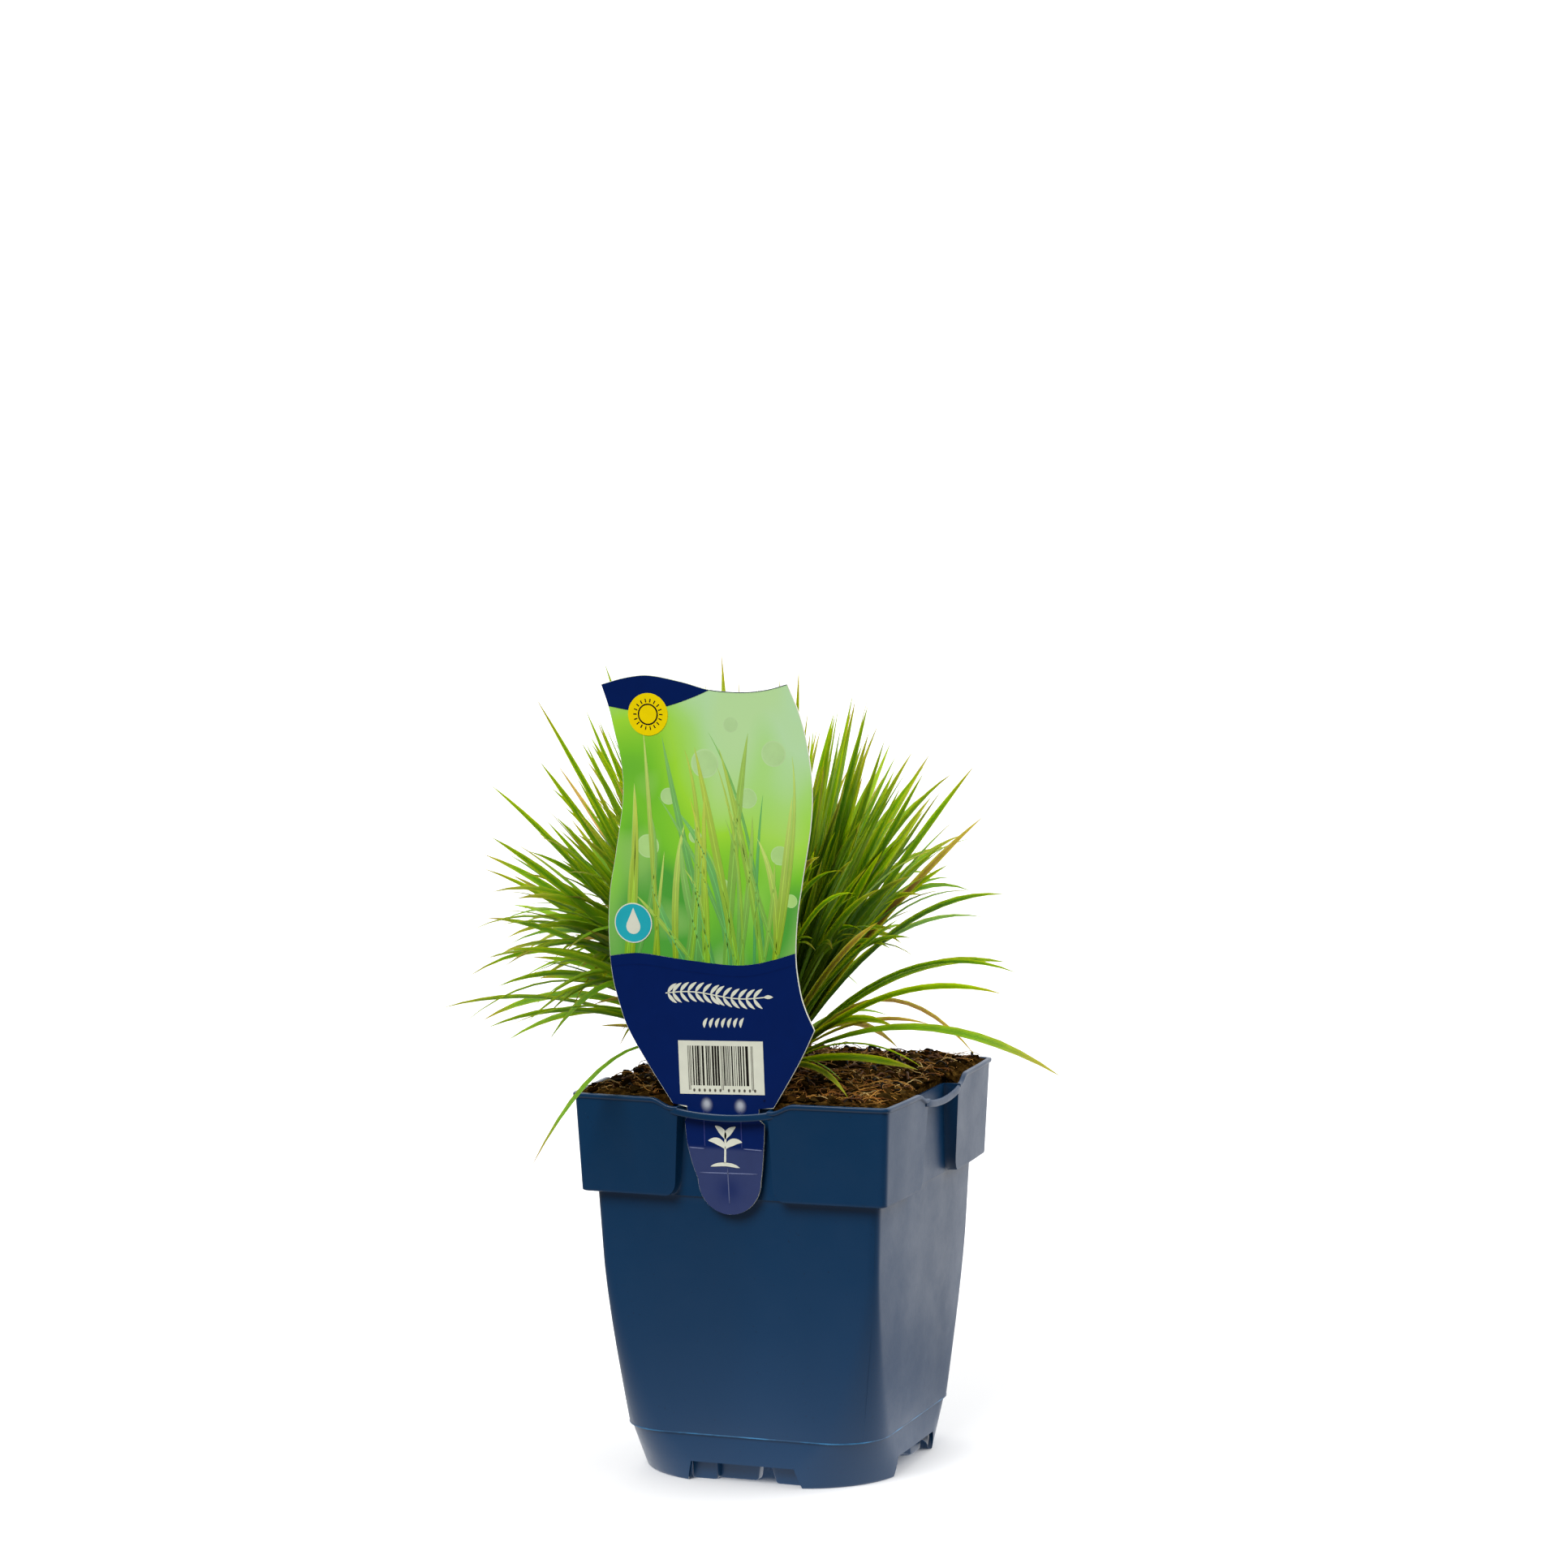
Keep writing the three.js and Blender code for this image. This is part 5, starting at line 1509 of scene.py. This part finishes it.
    def roots(self, tuft: int, tips: Array) -> Array:
        """Roots in a sheathed base: the flatter a leaf, the lower and the further out it starts."""
        x, y = self.tuft_place(tuft)
        away = tips - np.array([x, y, self.ground])
        heading = np.arctan2(away[:, 1], away[:, 0])
        flatness = np.arctan2(np.hypot(away[:, 0], away[:, 1]), away[:, 2]) / (math.pi / 2)
        out = self.base_top * 0.7 * flatness
        up = mix(self.base_tall - 1.0, 3.0, flatness)
        return np.stack([x + out * np.cos(heading), y + out * np.sin(heading), self.ground + up], -1)

    def leaves(self, tuft: int, index: Array, tips: Array, arch: Array, bow: Array, width: Array,
               twist: Array) -> Leaf:
        """Leaves from their tips and shapes, with a tone and a share of dryness drawn for each."""
        dry = np.where(draw(tuft, index, 21) > 0.965, 1.0, 0.0)
        return Leaf(self.roots(tuft, tips), tips, arch, bow, width, twist, draw(tuft, index, 22), dry)

    def ring_leaves(self, tuft: int, first: int, habit: Habit) -> Leaf:
        """Leaves of a ring tuft: leans spread evenly from steep to flat, with drawn sizes, swings and arches.

        Args:
            tuft: number of the tuft.
            first: number of the first leaf, which its draws depend on.
            habit: how the leaves grow.

        Returns:
            The leaves.
        """
        order = np.arange(habit.count)
        index = first + order
        rightness = max(0.0, math.cos(math.radians(self.tuft_angle(tuft) - self.steeper_middle)))
        flattest = habit.flattest - self.right_steeper * rightness
        lean = np.radians(mix(self.lean_least, flattest, (order + draw(tuft, index, 4)) / habit.count))
        size = mix(habit.least, habit.most, draw(tuft, index, 5))
        reach = self.crown_radius + (self.reach - self.crown_radius) * size * np.sin(lean)
        height = self.rise * size * np.cos(lean)
        off = mix(-habit.swing, habit.swing, draw(tuft, index, 6))
        tips = self.tips(tuft, self.tuft_angle(tuft) + off, reach, height, habit.swing)
        arch = mix(*habit.arch, draw(tuft, index, 7)) * np.sin(lean) + habit.lift * np.sin(lean) ** 4
        bow = mix(0.0, habit.bow, draw(tuft, index, 8)) * np.sign(off) * np.sin(lean)
        width = mix(1.5, 2.5, draw(tuft, index, 9))
        facing = self.facing(self.tuft_angle(tuft) + off)
        twist = 0.6 * facing + 0.65 * mix(-habit.twist, habit.twist, draw(tuft, index, 10))
        return self.leaves(tuft, index, tips, arch, bow, width, twist)

    def facing(self, angle: Array) -> Array:
        """Twist that turns a leaf's flat side to the camera: what its angle in the picture lacks to 90."""
        return 90.0 - (angle - self.view_turn) % 180.0

    def bearing(self, places: Array) -> Array:
        """Angles of places about the crown, in degrees."""
        return np.degrees(np.arctan2(places[:, 1] - self.crown[1], places[:, 0] - self.crown[0]))

    def own(self, tuft: int, angle: Array) -> Array:
        """Numbers of the angles that lie in a tuft's sector."""
        nearest = np.round((angle % 360.0) * self.tufts / 360.0).astype(int) % self.tufts
        return np.flatnonzero(nearest == tuft)

    def outline_leaves(self, tuft: int) -> list[Leaf]:
        """The leaves that stand out of the tussock's outline and belong to a tuft."""
        found = []
        table = np.array(self.long_leaves)
        angle = table[:, 0] + self.view_turn
        mine = self.own(tuft, angle)
        if mine.size:
            _, reach, height, arch, width = table[mine].T
            index = 100 + mine
            tips = self.tips(tuft, angle[mine], reach, height, self.swing)
            twist = self.facing(angle[mine]) + mix(-28.0, 28.0, draw(tuft, index, 10))
            found.append(self.leaves(tuft, index, tips, arch, np.zeros(mine.size), width, twist))
        outer = np.array(self.outer_tips)
        mine = self.own(tuft, self.bearing(outer))
        if mine.size:
            tip, (arch, width, twist) = outer[mine, :3], outer[mine, 3:].T
            found.append(self.leaves(tuft, 200 + mine, tip, arch, np.zeros(mine.size), width, twist))
        strays = np.array(self.strays)
        mine = self.own(tuft, self.bearing(strays))
        if mine.size:
            tip, (arch, bow, width, tone, dry) = strays[mine, :3], strays[mine, 3:].T
            found.append(Leaf(self.roots(tuft, tip), tip, arch, bow, width, 55.0 + 40.0 * tone, tone, dry))
        return found

    def centre(self, first: int, count: int, least: float) -> Leaf:
        """Leaves of the centre tuft: nearly upright, turned by the golden angle from one to the next."""
        order = np.arange(count)
        index = first + order
        angle = self.golden_turn * index
        out = mix(3.0, self.centre_spread, draw(self.tufts, index, 4))
        height = mix(least, 0.97, draw(self.tufts, index, 5)) * self.rise
        reach = out * height / self.rise
        start = self.centre_top * 0.85 * np.sqrt((order + 0.5) / count)
        side, away = np.cos(angle), np.sin(angle)
        crown_x, crown_y = self.crown
        root = np.stack([crown_x + start * side, crown_y + start * away,
                         np.full(count, self.ground + self.base_tall - 2.0)], -1)
        tip = np.stack([crown_x + reach * side, crown_y + reach * away, self.ground + height], -1)
        none = np.zeros(count)
        return Leaf(root, tip, none + 1.0, none, mix(1.5, 2.4, draw(self.tufts, index, 9)),
                    mix(-80.0, 80.0, draw(self.tufts, index, 10)), draw(self.tufts, index, 22), none)

    def blades(self, leaf: Leaf) -> Surface:
        """The leaves' blades: folded sections carried along arched paths.

        A path runs straight from root to tip in plan, bows aside and arches up by the parabola 4t(1 - t). The
        section has two edges, a groove between them above and a keel below. It turns about the path by the
        twist as it goes, stays even in the middle and narrows to a point over the last quarter.
        """
        t = np.linspace(0.0, 1.0, self.stations)[None, :, None] ** 0.92
        along = (leaf.tip - leaf.root)[:, None, :]
        flat = along * np.array([1.0, 1.0, 0.0])
        flat = flat / np.maximum(np.linalg.norm(flat, axis=-1, keepdims=True), 1e-6)
        up = np.array([0.0, 0.0, 1.0])
        side = np.cross(up, flat)
        hump = 4.0 * t * (1.0 - t)
        slope = 4.0 * (1.0 - 2.0 * t)
        arch, bow = leaf.arch[:, None, None], leaf.bow[:, None, None]
        centre = leaf.root[:, None, :] + along * t + side * bow * hump + up * arch * hump
        heading = along + side * bow * slope + up * arch * slope
        heading = heading / np.linalg.norm(heading, axis=-1, keepdims=True)
        across = side - heading * np.sum(side * heading, axis=-1, keepdims=True)
        across = across / np.linalg.norm(across, axis=-1, keepdims=True)
        over = np.cross(heading, across)
        angle = np.radians(leaf.twist)[:, None, None] * (0.5 + 0.5 * t)
        c, s = np.cos(angle), np.sin(angle)
        across, over = across * c + over * s, over * c - across * s
        shape = mix(0.72, 1.0, smooth_step(0.0, 0.3, t))
        point = np.clip((1.0 - t) / 0.24, 0.0, 1.0) ** 0.8
        half = leaf.width[:, None, None] * self.half_share * np.maximum(shape * point, 0.015)
        fold = 0.22 * half
        keel = fold + self.thick * np.maximum(point, 0.12)
        aside = across * half
        ring = np.stack([centre + aside, centre - over * keel, centre - aside, centre - over * fold], 2)
        ring = np.clip(ring, self.box_low, self.box_high)
        count, size = len(leaf.root), self.stations * 4
        caps = np.array([[0, 3, 2, 1], [size - 4, size - 3, size - 2, size - 1]])
        quads = repeated(np.vstack([grid_quads(self.stations, 4, closed_columns=True), caps]), count, size)
        uv_one = np.stack(np.broadcast_arrays([[0.0, 0.5, 1.0, 0.5]], t[0]), -1).reshape(-1, 2)
        uv = np.tile(uv_one, (count, 1))
        return outward(Surface(ring.reshape(-1, 3), quads, uv=uv, ink=self.tones(leaf, t)))

    def tones(self, leaf: Leaf, t: Array) -> Array:
        """Colours along the leaves: a pale foot, a green picked at random between painted shaded and sunlit
        tones, and on some a scorched or dry tip.
        """
        tone = leaf.tone[:, None, None]
        deep, middle, sunny, pale, dry, burnt = (np.array(k.value) for k in (
            Tone.SHADY, Tone.MIDDLE, Tone.SUNNY, Tone.FOOT, Tone.DRY, Tone.SCORCHED))
        # Painted light and shade: each leaf gets a green between the shaded and the sunlit tone.
        green = np.where(tone < 0.5, mix(deep, middle, tone * 2.0), mix(middle, sunny, tone * 2.0 - 1.0))
        yellow = tone * 13.0 % 1.0
        green = green * tint((0.88, 1.0, 1.0), (1.15, 1.02, 0.8), yellow**2)
        own = mix(green, dry, leaf.dry[:, None, None])
        foot = 1.0 - smooth_step(0.02, 0.26, t)
        colour = mix(own, pale * 0.6, foot * 0.6)
        lighter = 0.9 + 0.4 * smooth_step(0.25, 1.0, t)
        end = tone * 7.0 % 1.0
        scorched = (end > 0.84) * smooth_step(0.86, 1.0, t)
        yellowed = (end < 0.3) * smooth_step(0.72, 1.0, t) * 0.7
        colour = mix(mix(colour * lighter, dry, yellowed), burnt, scorched)
        return opaque(np.repeat(colour[:, :, None, :], 4, axis=2).reshape(-1, 3))

    def base(self, x: float, y: float, radius: float, top: float) -> Surface:
        """The sheathed base: a ribbed cone whose ribs swell and sink with the angle, with pale streaks."""
        z = np.concatenate([[-self.base_deep, -0.5, 0.0], np.linspace(2.0, self.base_tall, 6)])
        angle = around(24)
        taper = mix(radius, top, np.clip(z / self.base_tall, 0.0, 1.0))[:, None]
        ribs = 1.0 - 0.07 * (1.0 - np.abs(np.sin(angle * 3.0 + z[:, None] * 0.05)))
        height = np.broadcast_to(self.ground + z[:, None], ribs.shape)
        wide = taper * ribs
        bar = closed_bar(np.stack([x + wide * np.cos(angle), y + wide * np.sin(angle), height], -1))
        streak = 0.5 + 0.5 * np.sin(angle * 6.0 + x)
        tone = tint((0.14, 0.12, 0.045), (0.26, 0.27, 0.11), streak[:, None])
        ends = np.tile([0.15, 0.15, 0.06, 1.0], (2, 1))
        bar.ink = np.vstack([opaque(np.tile(tone, (len(z), 1))), ends])
        bar.uv = np.full((len(bar.points), 2), 0.5)
        return bar

    def build(self) -> None:
        """Builds and dresses every tuft, one piece for each CAD node."""
        finish = GrassLeaf().material()
        centre = [self.base(*self.crown, self.centre_radius, self.centre_top)]
        for first, count, least in ((0, self.centre_leaves, 0.5), (300, self.more_centre_leaves, 0.3)):
            centre.append(self.blades(self.centre(first, count, least)))
        Surface.joined(centre).piece("leaves_centre", finish, "grass_leaf", "grass_tuft_centre", crease=50.0)
        habits = ((0, self.main_leaves), (300, self.fine_leaves), (500, self.cross_leaves))
        for tuft in range(self.tufts):
            bunch = [self.ring_leaves(tuft, first, habit) for first, habit in habits]
            bunch += self.outline_leaves(tuft)
            if self.left_side[0] < self.tuft_angle(tuft) < self.left_side[1]:
                bunch.append(self.ring_leaves(tuft, 700, self.left_leaves))
            parts = [self.base(*self.tuft_place(tuft), self.base_radius, self.base_top)]
            parts += [self.blades(leaf) for leaf in bunch]
            number = f"{tuft + 1:02d}"
            whole = Surface.joined(parts)
            whole.piece("leaves_" + number, finish, "grass_leaf", "grass_tuft_" + number, crease=50.0)


@dataclass(frozen=True)
class View:
    """The photograph's camera, solved from the pot's corners."""

    turn: float = 20.4
    raised: float = 5.63
    roll: float = -0.56
    distance: float = 1631.0
    aim_x: float = 0.11
    aim_z: float = 249.3
    focal_pixels: float = 5500.0
    frame_pixels: float = 1932.0
    film: float = 36.0

    def build(self) -> None:
        """Makes the camera, with its axes worked out from turn, height angle and roll."""
        back, level = towards(self.turn, self.raised)
        roll = math.radians(self.roll)
        upright = np.cross(back, level)
        right = level * math.cos(roll) + upright * math.sin(roll)
        up = upright * math.cos(roll) - level * math.sin(roll)
        eye = level * self.aim_x + np.array([0.0, 0.0, self.aim_z]) + back * self.distance
        camera = bpy.data.cameras.new("photo_view")
        camera.sensor_width = self.film
        camera.lens = self.film * self.focal_pixels / self.frame_pixels
        camera.clip_end = 50.0
        bpy.context.scene.camera = placed("photo_view", camera, right, up, back, eye * MM)


@dataclass(frozen=True)
class SoftSun:
    """A wide soft light from far away, from a turn to the right of the label's side and a height angle."""

    name: str
    turn: float
    height: float
    spread: float
    strength: float

    def build(self) -> None:
        """Makes the light, with its back along the direction that it comes from."""
        light = bpy.data.lights.new(self.name, "SUN")
        light.angle = math.radians(self.spread)
        light.energy = self.strength
        back, side = towards(self.turn, self.height)
        placed(self.name, light, side, np.cross(back, side), back, back)


@dataclass
class Studio:
    """Pale floor, white surroundings and soft lights.

    To the camera the floor is plain and pale. To every other ray it glows: evenly behind the plant, and in
    front with a strength that falls as one over the distance, as a floor under a low front light would.
    """

    floor_size: float = 12.0
    floor_colour: Triple = (0.88, 0.88, 0.88)
    glow: float = 0.105
    glow_less: float = 0.05
    glow_most: float = 1.2
    glow_behind: float = 1.2
    front_light: float = 0.035
    back_light: float = 1.25
    top_light: float = 0.6

    def floor(self) -> None:
        """Makes the floor, a wide plain sheet."""
        half = self.floor_size / 2
        mesh = bpy.data.meshes.new("studio_floor")
        corners = [(-half, -half, 0), (half, -half, 0), (half, half, 0), (-half, half, 0)]
        mesh.from_pydata(corners, [], [(0, 1, 2, 3)])
        thing = placed("studio_floor", mesh)
        r = Recipe("studio_floor")
        r.shade("Base Color", (*self.floor_colour, 1.0))
        r.shade("Roughness", 0.9)
        away = r.step("ShaderNodeVectorMath", {0: r.place}, "Value", operation="LENGTH")
        near = r.maths("SUBTRACT", r.maths("DIVIDE", self.glow, away), self.glow_less)
        front = r.maths("MINIMUM", r.maths("MAXIMUM", near, 0.0), self.glow_most)
        behind = r.grade(r.part(r.place, "Y"), 0.0, 0.25, 0.0, self.glow_behind)
        glow = r.step("ShaderNodeEmission", {"Strength": r.maths("MAXIMUM", front, behind)}, "Emission")
        choice = {"Fac": r.seen(), 1: glow, 2: r.shader.outputs["BSDF"]}
        both = r.step("ShaderNodeMixShader", choice, "Shader")
        r.put(r.tree.nodes["Material Output"].inputs["Surface"], both)
        mesh.materials.append(r.material)

    def surroundings(self) -> None:
        """Makes the world: white to the camera, and as a light bright behind and above and dim in front."""
        world = bpy.data.worlds.new("studio")
        bpy.context.scene.world = world
        world.use_nodes = True
        sky = Nodes(world.node_tree)
        way = sky.step("ShaderNodeTexCoord", {}, "Generated")
        total = self.front_light
        rises = (("Y", -0.3, 0.7, self.back_light), ("Z", 0.15, 1.0, self.top_light))
        for axis, low, high, strength in rises:
            rise = sky.grade(sky.part(way, axis), low, high, 0.0, strength, "SMOOTHSTEP")
            total = sky.maths("ADD", rise, total)
        background = sky.tree.nodes["Background"].inputs
        sky.put(background["Strength"], sky.maths("MAXIMUM", total, sky.seen()))
        sky.put(background["Color"], (1.0, 1.0, 1.0, 1.0))

    def build(self) -> None:
        """Builds floor, surroundings and lights, and takes plain display colours."""
        self.floor()
        self.surroundings()
        SoftSun("key_light", -14.0, 43.0, 34.0, 2.75).build()
        SoftSun("side_light", 112.0, 38.0, 45.0, 1.45).build()
        bpy.context.scene.view_settings.view_transform = "Standard"


def main() -> None:
    """Builds the view, the studio and the plant."""
    logging.basicConfig(level=logging.INFO, format="%(message)s")
    View().build()
    Studio().build()
    pot = Pot()
    pot.build()
    SoilFill(pot).build()
    PlantLabel().build()
    Grass().build()


if __name__ == "__main__":
    main()
